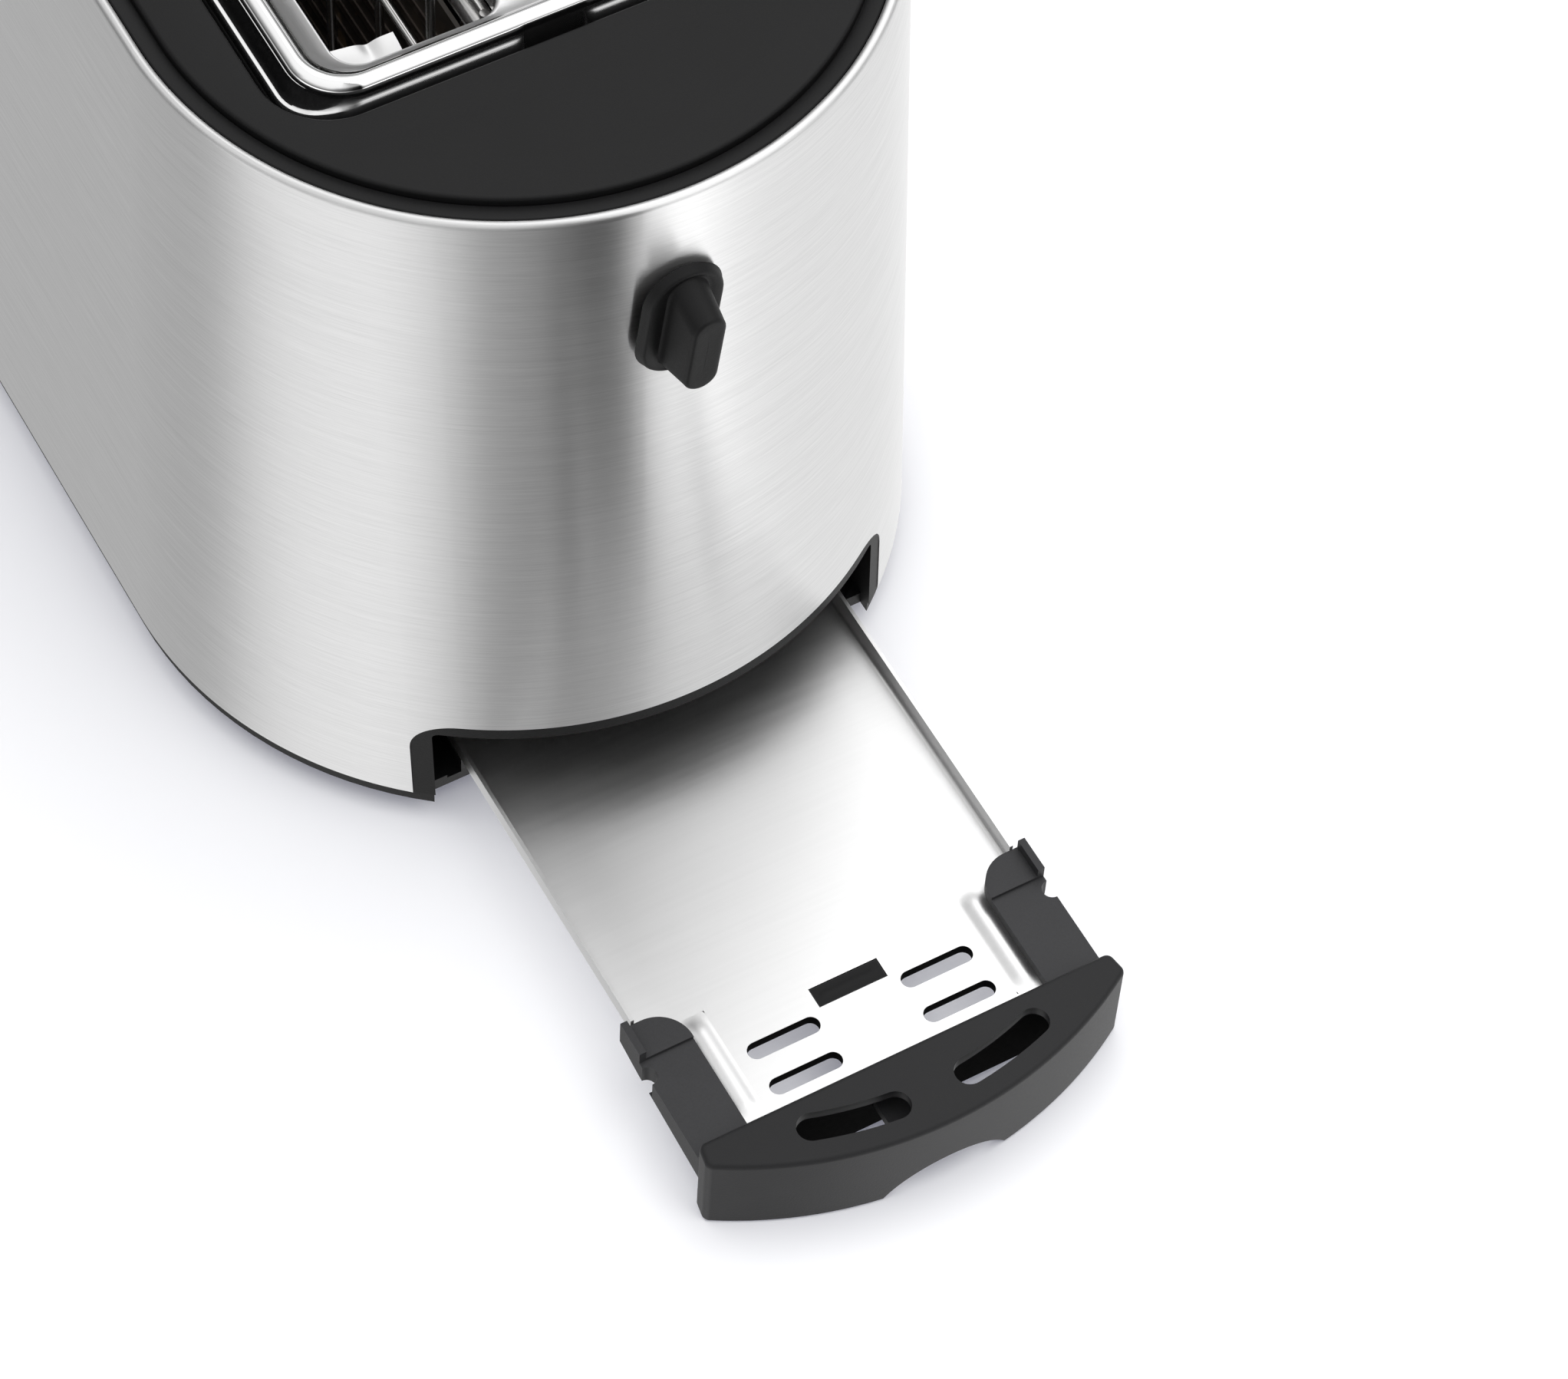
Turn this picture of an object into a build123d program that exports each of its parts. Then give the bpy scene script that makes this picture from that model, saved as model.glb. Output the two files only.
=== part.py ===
"""Two-slot pop-up toaster with a drawn-out crumb tray and a lifting roll warmer.

Units are millimetres. +X points to the crumb tray end, -Y to the front, +Z up,
and z = 0 is the worktop under the middle of the body.
"""
import os
from math import acos, cos, pi, radians, sin, sqrt, tan

from build123d import *

# Body outline
body_length = 300.0
body_width = 180.0
shell_bottom = 10.0
rim_height = 196.5
draft_inset = 8.7
shell_wall = 1.0
rim_lip_width = 2.6
rim_lip_thickness = 1.4
rim_round = 0.6

# Clearances
fit_gap = 0.2
running_gap = 0.3
shaft_clearance = 0.05
cut_overrun = 10.0

# Crumb tray doorway in the shell
door_half_width = 58.0
door_top = 35.7
door_corner = 9.0
surround_side = 4.0
surround_top = 3.4
surround_corner = 1.5
surround_depth = 30.0

# Base
base_bottom = 6.5
base_band_inset = 0.7
base_band_width = 5.0
base_floor = 2.5
chassis_seat = 22.0
upstand_wall = 2.0
vent_length = 26.0
vent_width = 3.0
vent_pitch = 9.0
foot_diameter = 18.0
foot_end_set = 50.0
foot_side_set = 30.0
foot_step = 2.0
foot_sink = 1.5
screw_end_set = 80.0
screw_side_set = 20.0
screw_diameter = 4.0
screw_head_diameter = 8.0
screw_head_height = 2.0
boss_diameter = 11.0
seat_half = 4.0
seat_width = 6.5

# Top cover
cover_ring_drop = 0.8
cover_ring_width = 3.6
cover_plate_rise = 0.8
cover_thickness = 2.6
cover_skirt = 7.0
cover_plate_round = 0.8
well_end_gap = 1.5
well_side_gap = 4.2
well_corner = 15.0
well_wall = 2.2
well_depth = 16.5
ledge_width = 3.0
ledge_thickness = 3.6

# Roll warmer frame
frame_end_set = 56.5
frame_half_width = 58.8
frame_corner = 13.0
frame_rise = 4.5
bead_radius = 4.4
bead_set = 9.5
basin_half_width = 50.0
basin_depth = 10.0
slot_end_set = 15.5
slot_inner = 9.3
slot_outer = 44.7
slot_corner = 6.0
slot_edge = 0.4
basin_corner = 10.0
frame_sheet = 1.2
frame_flange = 3.2
flange_gap_half = 8.0
flange_end_reach = 0.8
frame_window_set = 10.0
frame_window_margin = 3.0
warmer_lift_turn = 90.0

# Chassis
plate_end_gap = 2.0
plate_thickness = 1.0
plate_half_width = 60.0
reflector_y = 57.0
reflector_sheet = 0.8
reflector_foot_edge = 6.0
reflector_foot_margin = 8.0
heater_y = 49.0
heater_bottom = 44.0
heater_drop = 56.5
heater_board = 1.0
ribbon_width = 2.4
ribbon_thickness = 0.4
ribbon_pitch = 7.5
ribbon_end_set = 15.5
guard_wire = 2.0
guard_count = 7
guard_bottom = 46.0
guard_rail_drop = 1.0
guard_overrun = 2.0
guard_margin = 0.7
tab_y = 36.6
tab_half_width = 7.2
tab_reach = 25.0
tab_bend = 15.5
tab_rise = 5.0
tab_climb = 5.0
tab_sheet = 0.8

# Turn knob, shaft, pinions and racks
knob_y = -4.8
knob_drop = 32.3
knob_lean = 8.0
skirt_width = 17.4
skirt_height = 29.6
skirt_thickness = 2.4
grip_width = 9.4
grip_height = 25.0
grip_tip_width = 6.8
grip_tip_height = 19.0
grip_length = 9.2
knob_round = 1.0
shaft_diameter = 6.0
shaft_socket = 6.0
bush_diameter = 11.6
bush_flange = 18.0
gear_module = 2.0
gear_teeth = 18
gear_width = 7.0
gear_backlash = 0.5
pressure_angle = 20.0
gear_set = 9.5
rack_back = 6.0
rack_margin = 8.0
rack_guide_height = 26.0
rack_guide_thickness = 3.5

# Bread carriage at the lever end
slider_set = 10.5
slider_depth = 12.0
slider_half_width = 30.0
slider_drop = 78.5
slider_height = 24.0
rod_diameter = 6.0
rod_y = 20.0
bridge_drop = 24.5
bridge_height = 4.0
rod_boss_diameter = 13.0
tongue_half_width = 8.0
tongue_depth = 3.5
lever_drop = 36.5
lever_arm_height = 8.0
lever_arm_width = 5.0
lever_knob_length = 20.0
lever_knob_half_width = 17.0
lever_knob_height = 15.0
lever_stand_off = 1.5
lever_slot_gap = 0.8
rest_height = 8.0
rest_thickness = 3.0
rest_lift = 2.0
rest_end_gap = 4.0
rest_slot_gap = 2.0
rest_side_gap = 1.5
rest_pin_diameter = 3.0
rest_pin_length = 15.0
rest_pin_count = 5
armature_height = 3.0
armature_half_width = 9.0
magnet_half_width = 12.0
magnet_height = 12.6
magnet_gap = 0.4
spring_radius = 3.0
spring_wire = 0.8
spring_turns = 11
spring_set = 3.8

# Control panel at the lever end
panel_half_width = 32.0
panel_bottom = 26.0
panel_drop = 22.5
panel_corner = 8.0
panel_proud = 0.6
panel_back = 2.2
panel_flange = 3.5
dial_z = 56.0
dial_diameter = 30.0
dial_height = 10.0
dial_shaft_diameter = 6.0
dial_notch = 1.6
button_z = 34.0
button_pitch = 18.0
button_width = 12.0
button_height = 8.0
button_proud = 2.9
button_travel = 2.5
button_length = 10.0
board_end_set = 19.0
board_thickness = 1.6
board_half_width = 30.0
board_top = 72.0
pot_depth = 8.0
pot_size = 18.0
switch_depth = 6.0

# Cord outlet
gland_end_set = 90.0
gland_z = 33.0
gland_diameter = 14.0
gland_flange = 19.0
gland_flange_thickness = 3.0
gland_bore = 7.0
gland_tail = 4.0
gland_gap = 0.6

# Crumb tray, drawn out as in use
tray_out = 110.0
tray_floor = 14.7
tray_sheet_thickness = 0.8
tray_half_width = 46.5
tray_lip = 4.8
tray_tail_set = 50.0
tray_slot_inner = 10.0
tray_slot_outer = 27.2
tray_slot_width = 4.2
tray_slot_set = 8.5
tray_slot_pitch = 9.6
clip_hole_set = 23.5
clip_hole_half_width = 8.3
clip_hole_length = 5.0
rib_y = 33.5
rib_length = 22.0
rib_width = 4.0
rib_height = 0.9
rail_inner = 36.0
rail_wall = 3.0

# Crumb tray handle
handle_bottom = 0.8
handle_top = 23.7
handle_depth = 19.8
handle_end_depth = 5.4
handle_half_width = 50.3
handle_back_half_width = 49.4
handle_wall = 2.4
handle_corner = 1.8
handle_round = 1.2
vent_slot_width = 6.6
vent_slot_set = 8.2
vent_slot_start = 5.5
vent_slot_end = 30.0
finger_half_width = 15.2
finger_height = 8.0
arm_length = 34.0
arm_inner = 36.2
arm_top = 18.4
arm_step = 0.9
arm_head = 8.5
arm_corner = 8.0
arm_wall = 2.4
arm_wall_bottom = 9.9
fin_height = 2.6
detent_radius = 2.2
detent_set = 12.0
tongue_half_span = 9.0
tongue_thickness = 2.4
tongue_overrun = 6.0

# Worked out from the sizes above
half_length = body_length / 2
end_radius = body_width / 2
end_centre = half_length - end_radius
floor_top = base_bottom + base_floor
foot_x = half_length - foot_end_set
foot_y = end_radius - foot_side_set
screw_x = half_length - screw_end_set
screw_y = end_radius - screw_side_set
reflector_foot = screw_y + reflector_foot_edge - reflector_y
gland_x = gland_end_set - half_length
board_x = half_length - board_end_set
tray_tail_closed = tray_tail_set - half_length
frame_half_length = half_length - frame_end_set
well_half_length = frame_half_length + well_end_gap
well_half_width = frame_half_width + well_side_gap
basin_half_length = frame_half_length - bead_set
slot_half_length = frame_half_length - slot_end_set
plate_inner = frame_half_length + plate_end_gap
gear_x = plate_inner - gear_set
ribbon_half_length = plate_inner - ribbon_end_set
guard_pitch = 2 * slot_half_length / (guard_count - 0.5)
rest_end = slot_half_length - rest_end_gap
rest_pin_pitch = 2 * slot_half_length / (rest_pin_count + 0.2)
slider_near = plate_inner + slider_set
spring_x = slider_near + spring_set
well_bottom = rim_height - well_depth
frame_top = rim_height + frame_rise
basin_floor = frame_top - basin_depth
knob_z = rim_height - knob_drop
heater_top = rim_height - heater_drop
guard_rail = heater_top - guard_rail_drop
guard_top = well_bottom + guard_overrun
bridge_bottom = rim_height - bridge_drop
panel_top = rim_height - panel_drop
lever_z = rim_height - lever_drop
slider_bottom = rim_height - slider_drop
magnet_top = chassis_seat + magnet_height
carriage_travel = slider_bottom - armature_height - magnet_gap - magnet_top
lever_low = lever_z - carriage_travel
pitch_radius = gear_module * gear_teeth / 2
rack_y = knob_y + pitch_radius
rack_reach = pitch_radius * radians(warmer_lift_turn) + rack_margin
frame_foot = well_bottom + ledge_thickness + running_gap
slot_centre = (slot_inner + slot_outer) / 2
slot_width = slot_outer - slot_inner
handle_back = half_length - handle_depth + tray_out + 0.1
tray_tail = tray_tail_closed + tray_out
arm_start = handle_back - arm_length
slider_far = slider_near + slider_depth
slider_top = slider_bottom + slider_height
rod_x = -(slider_near + slider_far) / 2


def lean(height):
    """How far the wall has leaned inward at a height."""
    return draft_inset * (height - shell_bottom) / (rim_height - shell_bottom)


def end_reach(height, inset=0.0, side=0.0):
    """Distance from the middle to the rounded end wall at a height and a side offset."""
    radius = end_radius - lean(height) - inset
    return end_centre + sqrt(radius**2 - side**2)


def body_block(bottom, top, inset):
    """Solid with the body's leaning stadium outline, moved inward by inset."""
    with BuildPart() as block:
        for height in (bottom, top):
            total = 2 * (lean(height) + inset)
            with BuildSketch(Plane.XY.offset(height)):
                SlotOverall(body_length - total, body_width - total)
        loft(ruled=True)
    return block.part


def straight_block(bottom, top, inset):
    """Solid with the body's bottom outline and upright walls, moved inward by inset."""
    with BuildPart() as block:
        with BuildSketch(Plane.XY.offset(bottom)):
            SlotOverall(body_length - 2 * inset, body_width - 2 * inset)
        extrude(amount=top - bottom)
    return block.part


def plan_box(bottom, top, half_x, half_y, radius):
    """Upright block with a rounded rectangle in plan, centred on the body."""
    with BuildPart() as block:
        with BuildSketch(Plane.XY.offset(bottom)):
            RectangleRounded(2 * half_x, 2 * half_y, radius)
        extrude(amount=top - bottom)
    return block.part


def span_box(x0, x1, y0, y1, z0, z1):
    """Plain block between two corners."""
    with BuildPart() as block:
        with Locations(((x0 + x1) / 2, (y0 + y1) / 2, (z0 + z1) / 2)):
            Box(abs(x1 - x0), abs(y1 - y0), abs(z1 - z0))
    return block.part


def end_prism(x0, x1, half_y, z0, z1, radius):
    """Block along X with a rounded rectangle in the YZ plane, centred on y = 0."""
    with BuildPart() as block:
        with BuildSketch(Plane.YZ.offset(x0)):
            with Locations((0, (z0 + z1) / 2)):
                RectangleRounded(2 * half_y, z1 - z0, radius)
        extrude(amount=x1 - x0)
    return block.part


def rod_x_axis(x0, x1, y, z, diameter):
    """Round bar along X."""
    with BuildPart() as bar:
        with BuildSketch(Plane.YZ.offset(x0)):
            with Locations((y, z)):
                Circle(diameter / 2)
        extrude(amount=x1 - x0)
    return bar.part


# Outer shell: leaning stadium of brushed sheet with a rolled-in rim, joined edge to edge from two round ends
# and two flat sides
shell_solid = body_block(shell_bottom, rim_height, 0)
shell_inside = body_block(shell_bottom - 1, rim_height - rim_lip_thickness, shell_wall)
shell_mouth = body_block(rim_height - 2 * rim_lip_thickness, rim_height + 1, rim_lip_width)
door_cut = end_prism(end_centre, half_length + cut_overrun, door_half_width, -door_top, door_top, door_corner)
panel_window = end_prism(-half_length - cut_overrun, -end_centre, panel_half_width, panel_bottom, panel_top,
                         panel_corner)
knob_hole = rod_x_axis(end_centre, half_length + cut_overrun, knob_y, knob_z, bush_diameter + 2 * fit_gap)
with BuildPart() as shell_wrap:
    add(shell_solid)
    add(shell_inside, mode=Mode.SUBTRACT)
    add(shell_mouth, mode=Mode.SUBTRACT)
    fillet(shell_wrap.edges().group_by(Axis.Z)[-1], rim_round)
    add(door_cut, mode=Mode.SUBTRACT)
    add(panel_window, mode=Mode.SUBTRACT)
    add(knob_hole, mode=Mode.SUBTRACT)
    with BuildSketch(Plane.XZ.offset(-end_radius - cut_overrun)):
        with Locations((gland_x, gland_z)):
            Circle(gland_diameter / 2 + fit_gap)
    extrude(amount=end_radius, mode=Mode.SUBTRACT)
shell_sheets = []
for x0, x1, y0, y1 in ((end_centre, half_length, -end_radius, end_radius),
                       (-half_length, -end_centre, -end_radius, end_radius),
                       (-end_centre, end_centre, -end_radius, 0), (-end_centre, end_centre, 0, end_radius)):
    with BuildPart() as sheet:
        add(shell_wrap.part)
        add(span_box(x0, x1, y0, y1, 0, rim_height + cut_overrun), mode=Mode.INTERSECT)
    shell_sheets += sheet.solids()

# Top cover: plate with a lower outer ring and a well for the warmer frame
ring_top = rim_height - cover_ring_drop
plate_top = rim_height + cover_plate_rise
lip_under = rim_height - rim_lip_thickness
cover_body = body_block(lip_under - cover_skirt, lip_under - fit_gap, shell_wall + fit_gap)
cover_ring = body_block(lip_under - cover_skirt, ring_top, rim_lip_width + fit_gap)
cover_plate = body_block(lip_under - fit_gap, plate_top, rim_lip_width + fit_gap + cover_ring_width)
cover_hollow = body_block(0, ring_top - cover_thickness, shell_wall + fit_gap + upstand_wall)
well_outside = plan_box(well_bottom, plate_top - cover_thickness, well_half_length + well_wall,
                        well_half_width + well_wall, well_corner + well_wall)
well_opening = plan_box(well_bottom + ledge_thickness, plate_top + 1, well_half_length, well_half_width,
                        well_corner)
ledge_opening = plan_box(well_bottom - 1, plate_top, well_half_length - ledge_width / 2,
                         well_half_width - ledge_width, well_corner - ledge_width)
with BuildPart() as top_cover:
    add(cover_body)
    add(cover_ring)
    add(cover_hollow, mode=Mode.SUBTRACT)
    add(cover_plate)
    fillet(top_cover.edges().group_by(Axis.Z)[-1], cover_plate_round)
    add(well_outside)
    add(well_opening, mode=Mode.SUBTRACT)
    add(ledge_opening, mode=Mode.SUBTRACT)

# Base: black tub with the visible band, chassis seats, bosses and tray rails
base_plate = straight_block(base_bottom, floor_top, base_band_inset)
base_band = straight_block(base_bottom, shell_bottom, base_band_inset)
base_band_hole = straight_block(floor_top, shell_bottom + 1, base_band_inset + base_band_width)
upstand = straight_block(floor_top, chassis_seat, shell_wall + 2 * fit_gap + lean(chassis_seat))
upstand_hole = straight_block(floor_top, chassis_seat + 1,
                              shell_wall + 2 * fit_gap + lean(chassis_seat) + upstand_wall)
plate_middle = plate_inner + plate_thickness / 2
rail_top = tray_floor - tray_sheet_thickness - running_gap
rail_end = handle_back - tray_out - arm_length - running_gap
tray_door_half = door_half_width - surround_side
with BuildPart() as base_tub:
    add(upstand)
    add(upstand_hole, mode=Mode.SUBTRACT)
    add(base_band)
    add(base_band_hole, mode=Mode.SUBTRACT)
    add(base_plate)
    add(span_box(end_centre, half_length + 1, -door_half_width, door_half_width, shell_bottom, door_top),
        mode=Mode.SUBTRACT)
    add(span_box(handle_back - tray_out - 2, half_length + 1, -tray_door_half, tray_door_half, 0, door_top),
        mode=Mode.SUBTRACT)
    for side in (-1, 1):
        for end in (-1, 1):
            x = end * plate_middle
            add(span_box(x - seat_half, x + seat_half, side * (plate_half_width - seat_width),
                         side * plate_half_width, floor_top, chassis_seat))
        inner = tray_half_width - 0.5
        outer = tray_half_width + 2 * running_gap
        add(span_box(tray_tail_closed - 4, rail_end, side * rail_inner, side * (outer + rail_wall),
                     floor_top, rail_top))
        add(span_box(tray_tail_closed - 4, rail_end, side * outer, side * (outer + rail_wall),
                     floor_top, tray_floor + tray_lip - 1))
        add(span_box(rail_end, handle_back - tray_out - 2, side * rail_inner, side * inner, floor_top,
                     rail_top))
        add(span_box(-board_x - 3, -board_x + 3, side * (board_half_width - 8), side * board_half_width,
                     floor_top, chassis_seat))
    with BuildSketch(Plane.XY.offset(floor_top)):
        with Locations(*[(sx * screw_x, sy * screw_y) for sx in (-1, 1) for sy in (-1, 1)]):
            Circle(boss_diameter / 2)
    extrude(amount=chassis_seat - floor_top)
    with BuildSketch(Plane.XY.offset(floor_top)):
        with Locations((rod_x, rod_y), (rod_x, -rod_y)):
            Circle(rod_boss_diameter / 2)
    extrude(amount=chassis_seat + 2 - floor_top)
    with BuildSketch(Plane.XY.offset(floor_top + 1)):
        with Locations((rod_x, rod_y), (rod_x, -rod_y)):
            Circle(rod_diameter / 2 + shaft_clearance)
    extrude(amount=chassis_seat, mode=Mode.SUBTRACT)
    with BuildSketch(Plane.XY.offset(base_bottom)):
        with Locations(*[(sx * screw_x, sy * screw_y) for sx in (-1, 1) for sy in (-1, 1)]):
            Circle(screw_diameter / 2 + fit_gap)
    extrude(amount=chassis_seat, mode=Mode.SUBTRACT)
    with BuildSketch(Plane.XY.offset(base_bottom)):
        with Locations(*[(sx * screw_x, sy * screw_y) for sx in (-1, 1) for sy in (-1, 1)]):
            Circle(screw_head_diameter / 2 + fit_gap)
    extrude(amount=screw_head_height + fit_gap, mode=Mode.SUBTRACT)
    with BuildSketch(Plane.XY.offset(base_bottom)):
        with GridLocations(vent_length * 1.6, vent_pitch, 3, 5):
            SlotOverall(vent_length, vent_width)
    extrude(amount=base_floor, mode=Mode.SUBTRACT)
    with BuildSketch(Plane.XY.offset(base_bottom)):
        with Locations(*[(sx * foot_x, sy * foot_y) for sx in (-1, 1) for sy in (-1, 1)]):
            Circle(foot_diameter / 2 - foot_step + fit_gap)
    extrude(amount=foot_sink, mode=Mode.SUBTRACT)

# Four rubber feet, each a stepped disc pressed into the base
with BuildPart() as feet:
    foot_places = [(sx * foot_x, sy * foot_y) for sx in (-1, 1) for sy in (-1, 1)]
    with BuildSketch():
        with Locations(*foot_places):
            Circle(foot_diameter / 2)
    extrude(amount=base_bottom)
    chamfer(feet.edges().group_by(Axis.Z)[0], 1)
    with BuildSketch(Plane.XY.offset(base_bottom)):
        with Locations(*foot_places):
            Circle(foot_diameter / 2 - foot_step)
    extrude(amount=foot_sink - fit_gap)

# Four screws that clamp the base to the reflector feet
screw_top = chassis_seat + reflector_sheet + 2.5
with BuildPart() as base_screws:
    screw_places = [(sx * screw_x, sy * screw_y) for sx in (-1, 1) for sy in (-1, 1)]
    with BuildSketch(Plane.XY.offset(base_bottom + fit_gap)):
        with Locations(*screw_places):
            Circle(screw_head_diameter / 2)
    extrude(amount=screw_head_height - fit_gap)
    with BuildSketch(Plane.XY.offset(base_bottom + fit_gap)):
        with Locations(*screw_places):
            RegularPolygon(1.4, 6)
    extrude(amount=1.2, mode=Mode.SUBTRACT)
    with BuildSketch(Plane.XY.offset(base_bottom + screw_head_height)):
        with Locations(*screw_places):
            Circle(screw_diameter / 2)
    extrude(amount=screw_top - base_bottom - screw_head_height)

# Surround: black doorway that lines the shell's cut-out
surround_block = body_block(shell_bottom, door_top - fit_gap, fit_gap)
surround_core = end_prism(end_centre, half_length + cut_overrun, door_half_width - fit_gap,
                          -door_top + fit_gap, door_top - fit_gap, door_corner - fit_gap)
surround_hole = end_prism(end_centre, half_length + cut_overrun, door_half_width - surround_side,
                          -door_top + surround_top, door_top - surround_top, surround_corner)
surround_back = handle_back - tray_out - surround_depth / 2
with BuildPart() as tray_surround:
    add(surround_block)
    add(surround_core, mode=Mode.INTERSECT)
    add(surround_hole, mode=Mode.SUBTRACT)
    add(span_box(-half_length, surround_back, -end_radius, end_radius, 0, rim_height), mode=Mode.SUBTRACT)

# Chassis end plates, one at each end of the bread chamber
gear_hole = shaft_diameter + 2 * shaft_clearance
rest_slot_bottom = slider_bottom + rest_lift - carriage_travel - rest_slot_gap
rest_slot_top = slider_bottom + rest_lift + rest_height + rest_slot_gap
end_sheet = [span_box(side * plate_inner, side * (plate_inner + plate_thickness), -plate_half_width,
                      plate_half_width, chassis_seat, well_bottom - fit_gap) for side in (1, -1)]
shaft_holes = rod_x_axis(-half_length, half_length, knob_y, knob_z, gear_hole)
with BuildPart() as knob_end_plate:
    add(end_sheet[0])
    add(shaft_holes, mode=Mode.SUBTRACT)
with BuildPart() as lever_end_plate:
    add(end_sheet[1])
    add(shaft_holes, mode=Mode.SUBTRACT)
    for side in (-1, 1):
        y = side * slot_centre
        half = rest_thickness / 2 + rest_side_gap
        add(span_box(-half_length, -end_centre, y - half, y + half, rest_slot_bottom, rest_slot_top),
            mode=Mode.SUBTRACT)

# Bright sheet tabs that steady the slice at the knob end of each slot
tab_root = well_bottom - tab_rise
with BuildPart() as slice_tabs:
    for side in (-1, 1):
        with BuildSketch(Plane.XZ.offset(-side * tab_y - tab_half_width)):
            with BuildLine():
                Polyline((plate_inner, tab_root), (plate_inner - tab_bend, tab_root + tab_rise),
                         (plate_inner - tab_reach, tab_root + tab_rise + tab_climb),
                         (plate_inner - tab_reach, tab_root + tab_rise + tab_climb + tab_sheet),
                         (plate_inner - tab_bend, tab_root + tab_rise + tab_sheet),
                         (plate_inner, tab_root + tab_sheet), close=True)
            make_face()
        extrude(amount=2 * tab_half_width)

# Side reflectors with a screwed foot
side_reflectors = {}
for name, side in (("front_reflector", -1), ("rear_reflector", 1)):
    with BuildPart() as reflector:
        add(span_box(-plate_inner + running_gap, plate_inner - running_gap, side * reflector_y,
                     side * (reflector_y + reflector_sheet), chassis_seat, well_bottom - fit_gap))
        add(span_box(-screw_x - reflector_foot_margin, screw_x + reflector_foot_margin, side * reflector_y,
                     side * (reflector_y + reflector_foot), chassis_seat, chassis_seat + reflector_sheet))
        with BuildSketch(Plane.XY.offset(chassis_seat)):
            with Locations((-screw_x, side * screw_y), (screw_x, side * screw_y)):
                Circle(screw_diameter / 2 + fit_gap)
        extrude(amount=reflector_sheet, mode=Mode.SUBTRACT)
    side_reflectors[name] = reflector

# Mica heater boards
heater_boards = {}
for name, y in (("front_heater_board", -heater_y), ("centre_heater_board", 0),
                ("rear_heater_board", heater_y)):
    with BuildPart() as board:
        add(span_box(-plate_inner + running_gap, plate_inner - running_gap, y - heater_board / 2,
                     y + heater_board / 2, heater_bottom, heater_top))
    heater_boards[name] = board

# Heating ribbon laid to and fro on each heated face
ribbons = {}
ribbon_rows = int((heater_top - heater_bottom - 2 * ribbon_pitch) // ribbon_pitch) + 1
for name, y, face in (("front_ribbon", -heater_y, 1), ("centre_front_ribbon", 0, -1),
                      ("centre_rear_ribbon", 0, 1), ("rear_ribbon", heater_y, -1)):
    near = y + face * heater_board / 2
    far = near + face * ribbon_thickness
    with BuildPart() as ribbon:
        for row in range(ribbon_rows):
            z = heater_bottom + ribbon_pitch + row * ribbon_pitch
            add(span_box(-ribbon_half_length, ribbon_half_length, near, far, z, z + ribbon_width))
            if row < ribbon_rows - 1:
                turn = ribbon_half_length if row % 2 == 0 else -ribbon_half_length + ribbon_width
                add(span_box(turn - ribbon_width, turn, near, far, z, z + ribbon_pitch + ribbon_width))
    ribbons[name] = ribbon

# Bread guards: upright wires on two rails hooked to the end plates
guards = {}
inner_guard = slot_inner + guard_margin
outer_guard = slot_outer - guard_margin
for name, y in (("front_outer_guard", -outer_guard), ("front_inner_guard", -inner_guard),
                ("rear_inner_guard", inner_guard), ("rear_outer_guard", outer_guard)):
    with BuildPart() as guard:
        for z in (guard_bottom, guard_rail):
            add(rod_x_axis(-plate_inner + running_gap, plate_inner - running_gap, y, z, guard_wire))
        with BuildSketch(Plane.XY.offset(guard_bottom)):
            with Locations((0, y)):
                with GridLocations(guard_pitch, 1, guard_count, 1):
                    Circle(guard_wire / 2)
        extrude(amount=guard_top - guard_bottom)
    guards[name] = guard

# Warmer frame: pressed ring with a rounded bead, a sloping basin and two bread slots
frame_inside = plan_box(frame_foot + frame_sheet, frame_top - frame_sheet, frame_half_length - frame_sheet,
                        frame_half_width - frame_sheet, frame_corner - frame_sheet)


def frame_basin(grow):
    """Sloping basin inside the bead, enlarged by a sheet thickness where asked."""
    with BuildPart() as basin:
        with BuildSketch(Plane.XY.offset(basin_floor - grow)):
            RectangleRounded(2 * (slot_half_length + slot_edge + grow), 2 * (slot_outer + slot_edge + grow),
                             slot_corner + grow)
        with BuildSketch(Plane.XY.offset(frame_top + 0.1)):
            RectangleRounded(2 * (basin_half_length + grow), 2 * (basin_half_width + grow),
                             basin_corner + grow)
        loft(ruled=True)
    return basin.part


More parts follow.
